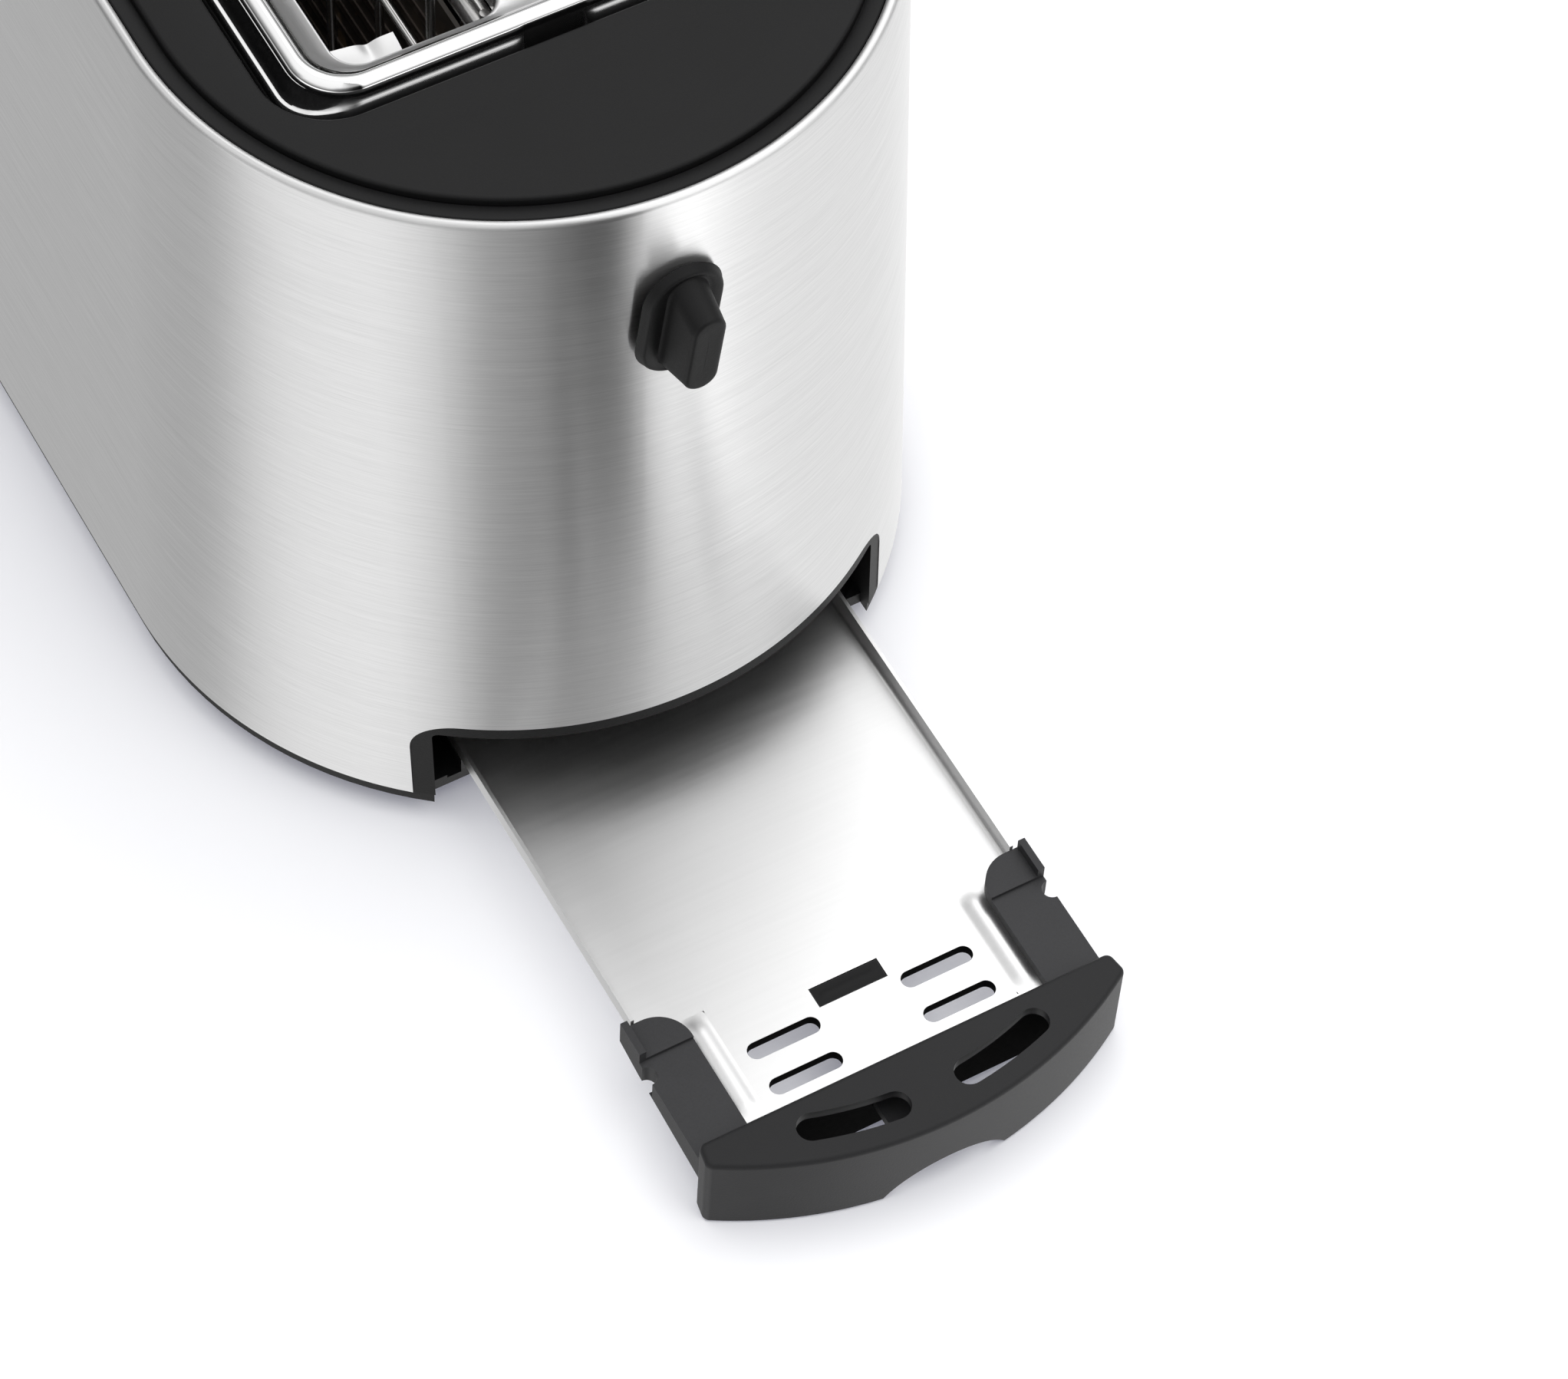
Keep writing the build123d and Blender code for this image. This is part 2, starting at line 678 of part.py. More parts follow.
basin_cut = frame_basin(0)
basin_grown = frame_basin(frame_sheet)
with BuildPart() as frame_cavity:
    add(frame_inside)
    add(basin_grown, mode=Mode.SUBTRACT)
    add(plan_box(frame_foot, basin_floor + 1, slot_half_length + slot_edge + frame_sheet,
                 slot_outer + slot_edge + frame_sheet, slot_corner + frame_sheet), mode=Mode.SUBTRACT)
with BuildPart() as warmer_frame:
    add(plan_box(frame_foot, frame_top, frame_half_length, frame_half_width, frame_corner))
    fillet(warmer_frame.edges().group_by(Axis.Z)[-1], bead_radius)
    add(basin_cut, mode=Mode.SUBTRACT)
    add(frame_cavity.part, mode=Mode.SUBTRACT)
    for side in (-1, 1):
        with BuildSketch(Plane.XY.offset(frame_foot)):
            with Locations((0, side * slot_centre)):
                RectangleRounded(2 * slot_half_length, slot_width, slot_corner)
        extrude(amount=basin_floor - frame_foot + 1, mode=Mode.SUBTRACT)
        add(span_box(frame_window_set - slot_half_length, slot_half_length - frame_window_set,
                     side * (slot_outer + frame_window_margin),
                     side * (frame_half_width - frame_window_margin), frame_foot - 1,
                     frame_foot + frame_sheet + 1), mode=Mode.SUBTRACT)
    with BuildSketch(Plane.XY.offset(frame_foot)):
        RectangleRounded(2 * (frame_half_length + flange_end_reach), 2 * (frame_half_width + frame_flange),
                         frame_corner + 1)
        RectangleRounded(2 * (frame_half_length - 1), 2 * (frame_half_width - 1), frame_corner - 1,
                         mode=Mode.SUBTRACT)
        Rectangle(3 * frame_half_length, 2 * flange_gap_half, mode=Mode.SUBTRACT)
    extrude(amount=frame_sheet)


def gear_outline():
    """Points of a spur gear with involute flanks, one tooth centred on +Y."""
    base_radius = pitch_radius * cos(radians(pressure_angle))
    tip_radius = pitch_radius + 0.9 * gear_module
    root_radius = pitch_radius - 1.25 * gear_module
    involute = tan(radians(pressure_angle)) - radians(pressure_angle)
    half_tooth = (pi * gear_module / 2 - gear_backlash) / (2 * pitch_radius)
    flank = []
    for step in range(5):
        radius = base_radius + (tip_radius - base_radius) * step / 4
        roll = acos(base_radius / radius)
        flank.append((radius, half_tooth + involute - (tan(roll) - roll)))
    points = []
    for tooth in range(gear_teeth):
        centre = 2 * pi * tooth / gear_teeth
        profile = [(root_radius, -flank[0][1])]
        profile += [(radius, -angle) for radius, angle in flank]
        profile += [(radius, angle) for radius, angle in reversed(flank)]
        profile += [(root_radius, flank[0][1])]
        points += [(radius * cos(centre + angle), radius * sin(centre + angle)) for radius, angle in profile]
    return points


# Pinions on the knob shaft, one at each end of the frame
pinions = {}
for name, side in (("knob_end_pinion", 1), ("lever_end_pinion", -1)):
    start = side * gear_x - gear_width / 2
    with BuildPart() as pinion:
        with BuildSketch(Plane.YZ.offset(start)):
            with Locations((knob_y, knob_z)):
                with BuildLine():
                    Polyline(*[(knob_y + u, knob_z + v) for u, v in gear_outline()], close=True)
                make_face()
        extrude(amount=gear_width)
        add(rod_x_axis(-half_length, half_length, knob_y, knob_z, shaft_diameter + 2 * shaft_clearance),
            mode=Mode.SUBTRACT)
    pinions[name] = pinion

# Racks hung under the frame, in mesh with the pinions
rack_pitch = pi * gear_module
rack_low = knob_z - rack_reach
racks = {}
for name, side in (("knob_end_rack", 1), ("lever_end_rack", -1)):
    with BuildPart() as rack:
        add(span_box(side * gear_x - gear_width / 2 - 0.5, side * gear_x + gear_width / 2 + 0.5,
                     rack_y + 1.25 * gear_module, rack_y + 1.25 * gear_module + rack_back,
                     rack_low, frame_foot))
        first = -int(rack_reach // rack_pitch)
        for tooth in range(first, 3):
            z = knob_z + (tooth + 0.5) * rack_pitch
            half = (rack_pitch / 2 - gear_backlash) / 2
            slope = tan(radians(pressure_angle))
            tip = half - 0.9 * gear_module * slope
            root = half + 1.25 * gear_module * slope
            with BuildSketch(Plane.YZ.offset(side * gear_x - gear_width / 2 - 0.5)):
                with BuildLine():
                    Polyline((rack_y - 0.9 * gear_module, z - tip), (rack_y - 0.9 * gear_module, z + tip),
                             (rack_y + 1.25 * gear_module, z + root), (rack_y + 1.25 * gear_module, z - root),
                             close=True)
                make_face()
            extrude(amount=gear_width + 1)
    racks[name] = rack

# Guides behind the racks, fixed to the end plates
guide_y = rack_y + 1.25 * gear_module + rack_back + running_gap
with BuildPart() as rack_guides:
    for side in (-1, 1):
        add(span_box(side * (gear_x - gear_width), side * (plate_inner - fit_gap), guide_y,
                     guide_y + rack_guide_thickness, knob_z - rack_guide_height / 2,
                     knob_z + rack_guide_height / 2))
        add(span_box(side * (plate_inner - fit_gap - 2.5), side * (plate_inner - fit_gap),
                     guide_y - rack_back / 2, guide_y + rack_guide_thickness,
                     knob_z - rack_guide_height / 2, knob_z + rack_guide_height / 2))

# Turn knob: oblong skirt with a tapering grip, leaning a little
knob_back = end_reach(knob_z - skirt_height / 2) + running_gap
skirt_top = knob_back + skirt_thickness
with BuildPart() as turn_knob:
    with BuildSketch(Plane.YZ.offset(knob_back)):
        with Locations((knob_y, knob_z)):
            SlotOverall(skirt_height, skirt_width, rotation=90 - knob_lean)
    extrude(amount=skirt_thickness, taper=10)
    fillet(turn_knob.edges().group_by(Axis.X)[-1], knob_round)
    with BuildSketch(Plane.YZ.offset(skirt_top - knob_round)):
        with Locations((knob_y, knob_z)):
            SlotOverall(grip_height, grip_width, rotation=90 - knob_lean)
    with BuildSketch(Plane.YZ.offset(skirt_top + grip_length)):
        with Locations((knob_y, knob_z)):
            SlotOverall(grip_tip_height, grip_tip_width, rotation=90 - knob_lean)
    loft(ruled=True)
    fillet(turn_knob.edges().group_by(Axis.X)[-1], knob_round / 2)
    add(rod_x_axis(knob_back - 1, knob_back + shaft_socket + fit_gap, knob_y, knob_z,
                   shaft_diameter + 2 * shaft_clearance), mode=Mode.SUBTRACT)

shaft_end = -(plate_inner + plate_thickness + 3)
with BuildPart() as knob_shaft:
    add(rod_x_axis(shaft_end, knob_back + shaft_socket, knob_y, knob_z, shaft_diameter))

# Bush in the shell for the knob shaft
bush_outer = end_reach(knob_z + bush_diameter / 2, 0, abs(knob_y) + bush_diameter / 2) - fit_gap
bush_inner = end_reach(knob_z + bush_flange / 2, shell_wall + fit_gap, abs(knob_y) + bush_flange / 2)
with BuildPart() as knob_bush:
    add(rod_x_axis(bush_inner - 4, bush_outer, knob_y, knob_z, bush_diameter))
    add(rod_x_axis(bush_inner - 4, bush_inner, knob_y, knob_z, bush_flange))
    add(shaft_holes, mode=Mode.SUBTRACT)

# Guide rods and the bridge that holds their tops
with BuildPart() as guide_rods:
    with BuildSketch(Plane.XY.offset(floor_top + 1)):
        with Locations((rod_x, rod_y), (rod_x, -rod_y)):
            Circle(rod_diameter / 2)
    extrude(amount=bridge_bottom + bridge_height - floor_top - 1)
with BuildPart() as rod_bridge:
    add(span_box(-slider_far - 2, -plate_inner - plate_thickness - fit_gap, -slider_half_width,
                 slider_half_width, bridge_bottom, bridge_bottom + bridge_height))
    with BuildSketch(Plane.XY.offset(bridge_bottom)):
        with Locations((rod_x, rod_y), (rod_x, -rod_y)):
            Circle(rod_diameter / 2 + shaft_clearance)
    extrude(amount=bridge_height, mode=Mode.SUBTRACT)

# Carriage slider with its lever arm
arm_tip = end_reach(lever_low - lever_knob_height / 2) + panel_proud + lever_stand_off + lever_knob_length / 2
with BuildPart() as carriage_slider:
    add(span_box(-slider_far, -slider_near, -slider_half_width, slider_half_width, slider_bottom, slider_top))
    add(span_box(-slider_far, -slider_far + tongue_depth, -tongue_half_width, tongue_half_width, slider_top,
                 lever_z + lever_arm_height))
    add(span_box(-arm_tip, -slider_far + tongue_depth, -lever_arm_width / 2, lever_arm_width / 2,
                 lever_z - lever_arm_height / 2, lever_z + lever_arm_height / 2))
    with BuildSketch(Plane.XY.offset(slider_bottom)):
        with Locations((rod_x, rod_y), (rod_x, -rod_y)):
            Circle(rod_diameter / 2 + shaft_clearance)
    extrude(amount=slider_height, mode=Mode.SUBTRACT)

# Lever knob pushed onto the arm
lever_front = arm_tip + lever_knob_length / 2
with BuildPart() as lever_knob:
    add(end_prism(-lever_front, -lever_front + lever_knob_length, lever_knob_half_width,
                  lever_z - lever_knob_height / 2, lever_z + lever_knob_height / 2,
                  lever_knob_height / 2 - 0.5))
    fillet(lever_knob.edges().group_by(Axis.X)[0], 2.5)
    add(span_box(-arm_tip - fit_gap, -slider_far, -lever_arm_width / 2 - shaft_clearance,
                 lever_arm_width / 2 + shaft_clearance, lever_z - lever_arm_height / 2 - shaft_clearance,
                 lever_z + lever_arm_height / 2 + shaft_clearance), mode=Mode.SUBTRACT)

# Bread rests: one rail with cross pins in each slot
bread_rests = {}
rest_bottom = slider_bottom + rest_lift
for name, side in (("front_bread_rest", -1), ("rear_bread_rest", 1)):
    y = side * slot_centre
    with BuildPart() as rest:
        add(span_box(-slider_near, rest_end, y - rest_thickness / 2, y + rest_thickness / 2, rest_bottom,
                     rest_bottom + rest_height))
        with BuildSketch(Plane.XZ.offset(-y - rest_pin_length / 2)):
            with Locations((0, rest_bottom + rest_height - rest_pin_diameter / 2)):
                with GridLocations(rest_pin_pitch, 1, rest_pin_count, 1):
                    Circle(rest_pin_diameter / 2)
        extrude(amount=rest_pin_length)
    bread_rests[name] = rest

# Latch: armature under the slider and the holding magnet on the base
with BuildPart() as armature:
    add(span_box(-slider_far + 2, -slider_near - 2, -armature_half_width, armature_half_width,
                 slider_bottom - armature_height, slider_bottom))
with BuildPart() as latch_magnet:
    add(span_box(-slider_far, -slider_near, -magnet_half_width, magnet_half_width, floor_top, chassis_seat))
    with BuildSketch(Plane.XY.offset(chassis_seat)):
        with Locations((rod_x, 0)):
            Circle(slider_depth / 2 - 0.5)
    extrude(amount=magnet_top - chassis_seat)

# Return spring between the slider and the bridge
with BuildPart() as return_spring:
    spring_start = slider_top + spring_wire / 2 + fit_gap
    spring_rise = bridge_bottom - slider_top - spring_wire - 2 * fit_gap
    with BuildLine() as spring_path:
        Helix(pitch=spring_rise / spring_turns, height=spring_rise, radius=spring_radius,
              center=(-spring_x, 0, spring_start))
    with BuildSketch(Plane(origin=spring_path.line @ 0, z_dir=spring_path.line % 0)):
        Circle(spring_wire / 2)
    sweep(path=spring_path.line, is_frenet=True)

# Control panel: curved strip with the lever slot, dial hole and button holes
panel_strip = body_block(panel_bottom - panel_flange, panel_top + panel_flange, -panel_proud)
panel_inside = body_block(panel_bottom - 2 * panel_flange, panel_top + 2 * panel_flange,
                          shell_wall + panel_back)
panel_behind = body_block(panel_bottom - panel_flange, panel_top + panel_flange, shell_wall + fit_gap)
panel_face = end_prism(-half_length - cut_overrun, -end_centre, panel_half_width - fit_gap,
                       panel_bottom + fit_gap, panel_top - fit_gap, panel_corner - fit_gap)
panel_wide = end_prism(-half_length - cut_overrun, -end_centre, panel_half_width + panel_flange,
                       panel_bottom - panel_flange, panel_top + panel_flange, panel_corner + panel_flange)
with BuildPart() as panel_frame:
    add(panel_behind)
    add(panel_wide, mode=Mode.INTERSECT)
lever_slot_half = lever_arm_width / 2 + lever_slot_gap
lever_slot_low = lever_low - lever_arm_height / 2 - lever_slot_half
lever_slot_high = lever_z + lever_arm_height / 2 + lever_slot_half
with BuildPart() as control_panel:
    add(panel_strip)
    add(panel_face, mode=Mode.INTERSECT)
    add(panel_frame.part)
    add(panel_inside, mode=Mode.SUBTRACT)
    add(end_prism(-half_length - cut_overrun, -end_centre, lever_slot_half, lever_slot_low, lever_slot_high,
                  lever_slot_half - 0.1), mode=Mode.SUBTRACT)
    add(rod_x_axis(-half_length - cut_overrun, -end_centre, 0, dial_z,
                   dial_shaft_diameter + 2 * shaft_clearance), mode=Mode.SUBTRACT)
    with BuildSketch(Plane.YZ.offset(-half_length - cut_overrun)):
        for y in (-button_pitch, 0, button_pitch):
            with Locations((y, button_z)):
                RectangleRounded(button_width + 2 * running_gap, button_height + 2 * running_gap, 1.5)
    extrude(amount=half_length - end_centre, mode=Mode.SUBTRACT)

# Circuit board with the dial's potentiometer and the button switches
board_outer = -board_x - board_thickness / 2
with BuildPart() as circuit_board:
    add(span_box(board_outer, board_outer + board_thickness, -board_half_width, board_half_width,
                 chassis_seat, board_top))
with BuildPart() as dial_potentiometer:
    add(span_box(board_outer - pot_depth, board_outer, -pot_size / 2, pot_size / 2, dial_z - pot_size / 2,
                 dial_z + pot_size / 2))
    add(rod_x_axis(-half_length, -end_centre, 0, dial_z, dial_shaft_diameter + 2 * shaft_clearance),
        mode=Mode.SUBTRACT)
with BuildPart() as button_switches:
    for y in (-button_pitch, 0, button_pitch):
        add(span_box(board_outer - switch_depth, board_outer, y - button_width / 3, y + button_width / 3,
                     button_z - button_height / 2, button_z + button_height / 2))

# Browning dial with its shaft
dial_back = end_reach(dial_z - dial_diameter / 2) + panel_proud + running_gap
with BuildPart() as browning_dial:
    with BuildSketch(Plane.YZ.offset(-dial_back)):
        with Locations((0, dial_z)):
            Circle(dial_diameter / 2)
    extrude(amount=-dial_height, taper=4)
    fillet(browning_dial.edges().group_by(Axis.X)[0], 1.2)
    add(span_box(-dial_back - dial_height - 1, -dial_back - dial_height + dial_notch, -0.9, 0.9,
                 dial_z + dial_diameter / 6, dial_z + dial_diameter / 2 - 2), mode=Mode.SUBTRACT)
    add(rod_x_axis(-dial_back, board_outer - 1, 0, dial_z, dial_shaft_diameter))

# Push buttons
buttons = {}
for name, y in (("reheat_button", -button_pitch), ("stop_button", 0), ("defrost_button", button_pitch)):
    near_side = max(abs(y) - button_width / 2, 0)
    front = end_reach(button_z - button_height / 2, -panel_proud, near_side) + button_proud
    with BuildPart() as button:
        with BuildSketch(Plane.YZ.offset(-front)):
            with Locations((y, button_z)):
                RectangleRounded(button_width, button_height, 1.2)
        extrude(amount=button_length)
        fillet(button.edges().group_by(Axis.X)[0], 0.6)
    buttons[name] = button

# Cord gland in the rear wall
gland_wall = end_radius - lean(gland_z)
with BuildPart() as cord_gland:
    with BuildSketch(Plane.XZ.offset(-gland_wall + shell_wall + gland_tail)):
        with Locations((gland_x, gland_z)):
            Circle(gland_diameter / 2)
    extrude(amount=-shell_wall - gland_tail - gland_gap)
    with BuildSketch(Plane.XZ.offset(-gland_wall - gland_gap)):
        with Locations((gland_x, gland_z)):
            Circle(gland_flange / 2)
    extrude(amount=-gland_flange_thickness)
    fillet(cord_gland.edges().group_by(Axis.Y)[-1], 1.2)
    with BuildSketch(Plane.XZ.offset(-gland_wall + shell_wall + gland_tail)):
        with Locations((gland_x, gland_z)):
            Circle(gland_bore / 2)
    extrude(amount=-20, mode=Mode.SUBTRACT)

# Crumb tray sheet with side lips, vents, clip hole and stiffening ribs
sheet_under = tray_floor - tray_sheet_thickness
sheet_front = handle_back + handle_wall + 1.5
clip_x = handle_back - clip_hole_set
with BuildPart() as tray_sheet:
    add(span_box(tray_tail, sheet_front, -tray_half_width + tray_sheet_thickness,
                 tray_half_width - tray_sheet_thickness, sheet_under, tray_floor))
    add(span_box(tray_tail, tray_tail + tray_sheet_thickness, -tray_half_width, tray_half_width, sheet_under,
                 tray_floor + tray_lip))
    for side in (-1, 1):
        add(span_box(tray_tail, arm_start - fit_gap, side * (tray_half_width - tray_sheet_thickness),
                     side * tray_half_width, sheet_under, tray_floor + tray_lip))
        with BuildSketch(Plane.XY.offset(sheet_under)):
            for row in range(2):
                x = handle_back - tray_slot_set - row * tray_slot_pitch
                with Locations((x, side * (tray_slot_inner + tray_slot_outer) / 2)):
                    SlotOverall(tray_slot_outer - tray_slot_inner, tray_slot_width, rotation=90)
        extrude(amount=tray_sheet_thickness, mode=Mode.SUBTRACT)
        with BuildSketch(Plane.YZ.offset(handle_back - 8 - rib_length)):
            with BuildLine():
                Line((side * rib_y - rib_width / 2, tray_floor), (side * rib_y + rib_width / 2, tray_floor))
                ThreePointArc((side * rib_y - rib_width / 2, tray_floor),
                              (side * rib_y, tray_floor + rib_height),
                              (side * rib_y + rib_width / 2, tray_floor))
            make_face()
        extrude(amount=rib_length)
    add(span_box(clip_x - clip_hole_length / 2, clip_x + clip_hole_length / 2, -clip_hole_half_width,
                 clip_hole_half_width, sheet_under, tray_floor), mode=Mode.SUBTRACT)

# Crumb tray handle: hollow bowed bar with vents, a finger arch and two arms over the sheet
handle_front = handle_back + handle_depth
end_front = handle_back + handle_end_depth
bow_radius = (handle_half_width**2 + (handle_front - end_front)**2) / (2 * (handle_front - end_front))
bow_centre = handle_front - bow_radius
vent_radius = bow_radius - vent_slot_set
with BuildPart() as tray_handle:
    with BuildSketch(Plane.XY.offset(handle_bottom)) as handle_plan:
        with BuildLine():
            ThreePointArc((end_front, -handle_half_width), (handle_front, 0), (end_front, handle_half_width))
            Line((end_front, handle_half_width), (handle_back, handle_back_half_width))
            Line((handle_back, handle_back_half_width), (handle_back, -handle_back_half_width))
            Line((handle_back, -handle_back_half_width), (end_front, -handle_half_width))
        make_face()
        fillet(handle_plan.vertices(), handle_corner)
    extrude(amount=handle_top - handle_bottom)
    fillet(tray_handle.edges().group_by(Axis.Z)[-1], handle_round)
    with BuildSketch(Plane.XY.offset(handle_bottom)):
        add(handle_plan.sketch_local)
        offset(amount=-handle_wall, mode=Mode.REPLACE)
    extrude(amount=handle_top - handle_bottom - handle_wall, mode=Mode.SUBTRACT)
    add(span_box(handle_back - 1, handle_back + handle_wall + 0.5, -tray_half_width - shaft_clearance,
                 tray_half_width + shaft_clearance, 0, tray_floor), mode=Mode.SUBTRACT)
    for side in (-1, 1):
        middle = (vent_slot_start + vent_slot_end) / 2
        ends = [vent_slot_start + vent_slot_width / 2, middle, vent_slot_end - vent_slot_width / 2]
        with BuildSketch(Plane.XY.offset(handle_top - handle_wall)):
            with BuildLine() as vent_line:
                ThreePointArc(*[(bow_centre + sqrt(vent_radius**2 - v**2), side * v) for v in ends])
            SlotArc(vent_line.edge(), vent_slot_width)
        extrude(amount=handle_wall, mode=Mode.SUBTRACT)
    with BuildSketch(Plane.YZ.offset(handle_back + handle_wall + 2)):
        with BuildLine():
            Line((-finger_half_width, 0), (finger_half_width, 0))
            ThreePointArc((-finger_half_width, 0), (0, handle_bottom + finger_height), (finger_half_width, 0))
        make_face()
    extrude(amount=handle_depth, mode=Mode.SUBTRACT)
    for side in (-1, 1):
        arm_outer = handle_back_half_width - 0.3
        with BuildSketch(Plane.XY.offset(tray_floor)) as pad:
            with Locations((handle_back - arm_length / 2 + 0.5, side * (arm_inner + arm_outer) / 2)):
                Rectangle(arm_length + 1, arm_outer - arm_inner)
            fillet(pad.vertices().sort_by(Axis.X)[:2].sort_by(Axis.Y)[0 if side > 0 else -1], arm_corner)
        extrude(amount=arm_top - tray_floor)
        add(span_box(arm_start + arm_head, handle_back, side * (arm_inner - 1), side * (arm_outer + 1),
                     arm_top - arm_step, arm_top + 1), mode=Mode.SUBTRACT)
        with BuildSketch(Plane.XZ.offset(-side * arm_outer)):
            with BuildLine():
                Polyline((arm_start, tray_floor), (handle_back + 1, tray_floor),
                         (handle_back + 1, arm_wall_bottom),
                         (arm_start + arm_head, (arm_wall_bottom + tray_floor) / 2),
                         (arm_start, sheet_under), close=True)
            make_face()
        extrude(amount=side * arm_wall)
        add(span_box(arm_start, arm_start + arm_head, side * (arm_outer - 1.6), side * arm_outer, arm_top,
                     arm_top + fin_height))
        with BuildSketch(Plane.XY.offset(sheet_under - 2)):
            with Locations((arm_start + detent_set, side * arm_outer)):
                Circle(detent_radius)
        extrude(amount=arm_top + fin_height, mode=Mode.SUBTRACT)
    add(span_box(clip_x - tongue_overrun, handle_front - handle_wall / 2, -tongue_half_span, tongue_half_span,
                 sheet_under - fit_gap - tongue_thickness, sheet_under - fit_gap))
    add(span_box(clip_x - clip_hole_length / 2 + fit_gap, clip_x + clip_hole_length / 2 - fit_gap,
                 -clip_hole_half_width + fit_gap, clip_hole_half_width - fit_gap, sheet_under - fit_gap - 1,
                 tray_floor - fit_gap))

# Write one file for each piece
pieces = {
    "top_cover": top_cover, "base_tub": base_tub, "feet": feet,
    "base_screws": base_screws, "tray_surround": tray_surround, "knob_end_plate": knob_end_plate,
    "lever_end_plate": lever_end_plate, "slice_tabs": slice_tabs, "rack_guides": rack_guides,
    "knob_bush": knob_bush, "guide_rods": guide_rods, "rod_bridge": rod_bridge,
    "latch_magnet": latch_magnet, "return_spring": return_spring, "control_panel": control_panel,
    "circuit_board": circuit_board, "dial_potentiometer": dial_potentiometer,
    "button_switches": button_switches, "cord_gland": cord_gland, "warmer_frame": warmer_frame,
    "turn_knob": turn_knob, "knob_shaft": knob_shaft, "carriage_slider": carriage_slider,
    "lever_knob": lever_knob, "armature": armature, "browning_dial": browning_dial,
    "tray_sheet": tray_sheet, "tray_handle": tray_handle,
    **side_reflectors, **heater_boards, **ribbons, **guards, **pinions, **racks, **bread_rests, **buttons,
}
os.makedirs("parts", exist_ok=True)
solids = {label: piece.part for label, piece in pieces.items()}
solids["outer_shell"] = Compound(children=shell_sheets)
for label, solid in solids.items():
    solid.label = label
    export_step(solid, f"parts/{label}.step")
print(len(solids), "pieces written")
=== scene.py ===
"""Pop-up toaster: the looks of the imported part, laid out as an add-on and run as a script."""
from functools import partial
from math import pi, radians
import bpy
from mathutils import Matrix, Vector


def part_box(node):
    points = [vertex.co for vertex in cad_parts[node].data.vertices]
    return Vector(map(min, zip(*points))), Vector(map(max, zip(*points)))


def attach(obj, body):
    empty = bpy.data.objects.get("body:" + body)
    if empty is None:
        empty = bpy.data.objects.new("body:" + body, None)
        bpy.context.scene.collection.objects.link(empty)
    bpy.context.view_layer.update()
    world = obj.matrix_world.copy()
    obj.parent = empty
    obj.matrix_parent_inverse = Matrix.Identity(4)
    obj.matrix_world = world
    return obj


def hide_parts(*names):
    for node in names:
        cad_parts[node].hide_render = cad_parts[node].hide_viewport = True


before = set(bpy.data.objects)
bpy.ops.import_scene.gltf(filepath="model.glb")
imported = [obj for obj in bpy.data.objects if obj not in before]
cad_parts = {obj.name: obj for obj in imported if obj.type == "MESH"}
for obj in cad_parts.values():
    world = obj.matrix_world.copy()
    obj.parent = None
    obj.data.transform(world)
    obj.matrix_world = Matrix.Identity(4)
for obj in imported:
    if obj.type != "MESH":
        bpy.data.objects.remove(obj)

from types import SimpleNamespace

import bmesh
import bpy
import numpy as np
from bpy.props import FloatProperty, FloatVectorProperty, PointerProperty
from mathutils import Matrix, Vector

bl_info = {
    "name": "Pop-up toaster",
    "version": (1, 0, 0),
    "blender": (4, 5, 0),
    "location": "3D View > Sidebar > Toaster",
    "description": "Dresses a two-slot toaster with a drawn-out crumb tray",
    "category": "Object",
}

MM, MERGE_REACH = 0.001, 2e-6
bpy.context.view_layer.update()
QUARTER = np.linspace(0, pi / 2, 17)
CONTROLS = ("lever_knob", "browning_dial", "reheat_button", "stop_button", "defrost_button")
# Half-sizes of the holes behind the knob and round the cord gland, and the knob's set towards the wall, in mm
KNOB_HOLE, GLAND_HOLE, KNOB_SET = 6.2, 6.4, 0.15
KNOB_LEAN = radians(6.4)
# Places along the tray of its rows of slots and of the clip, and half-sizes of the cells that hold them, in mm
SLOT_ROWS, SLOT_CELL, CLIP_PLACE, CLIP_LONG, CLIP_WIDE = (231.8, 222.2), 2.8, 216.8, 2.5, 8.3
SLOTS = [(row, way) for row in SLOT_ROWS for way in (-1, 1)]
finishes = {}


def size(name, description, default):
    """A length property in metres."""
    return FloatProperty(name=name, description=description, default=default, subtype="DISTANCE", unit="LENGTH",
                         precision=5)


def tint(name, description, default):
    """A linear colour property."""
    return FloatVectorProperty(name=name, description=description, default=default, subtype="COLOR", size=3,
                               min=0.0, max=1.0)


def level(name, description, default):
    """A plain strength or share."""
    return FloatProperty(name=name, description=description, default=default, subtype="FACTOR", min=0.0,
                         soft_max=1.0)


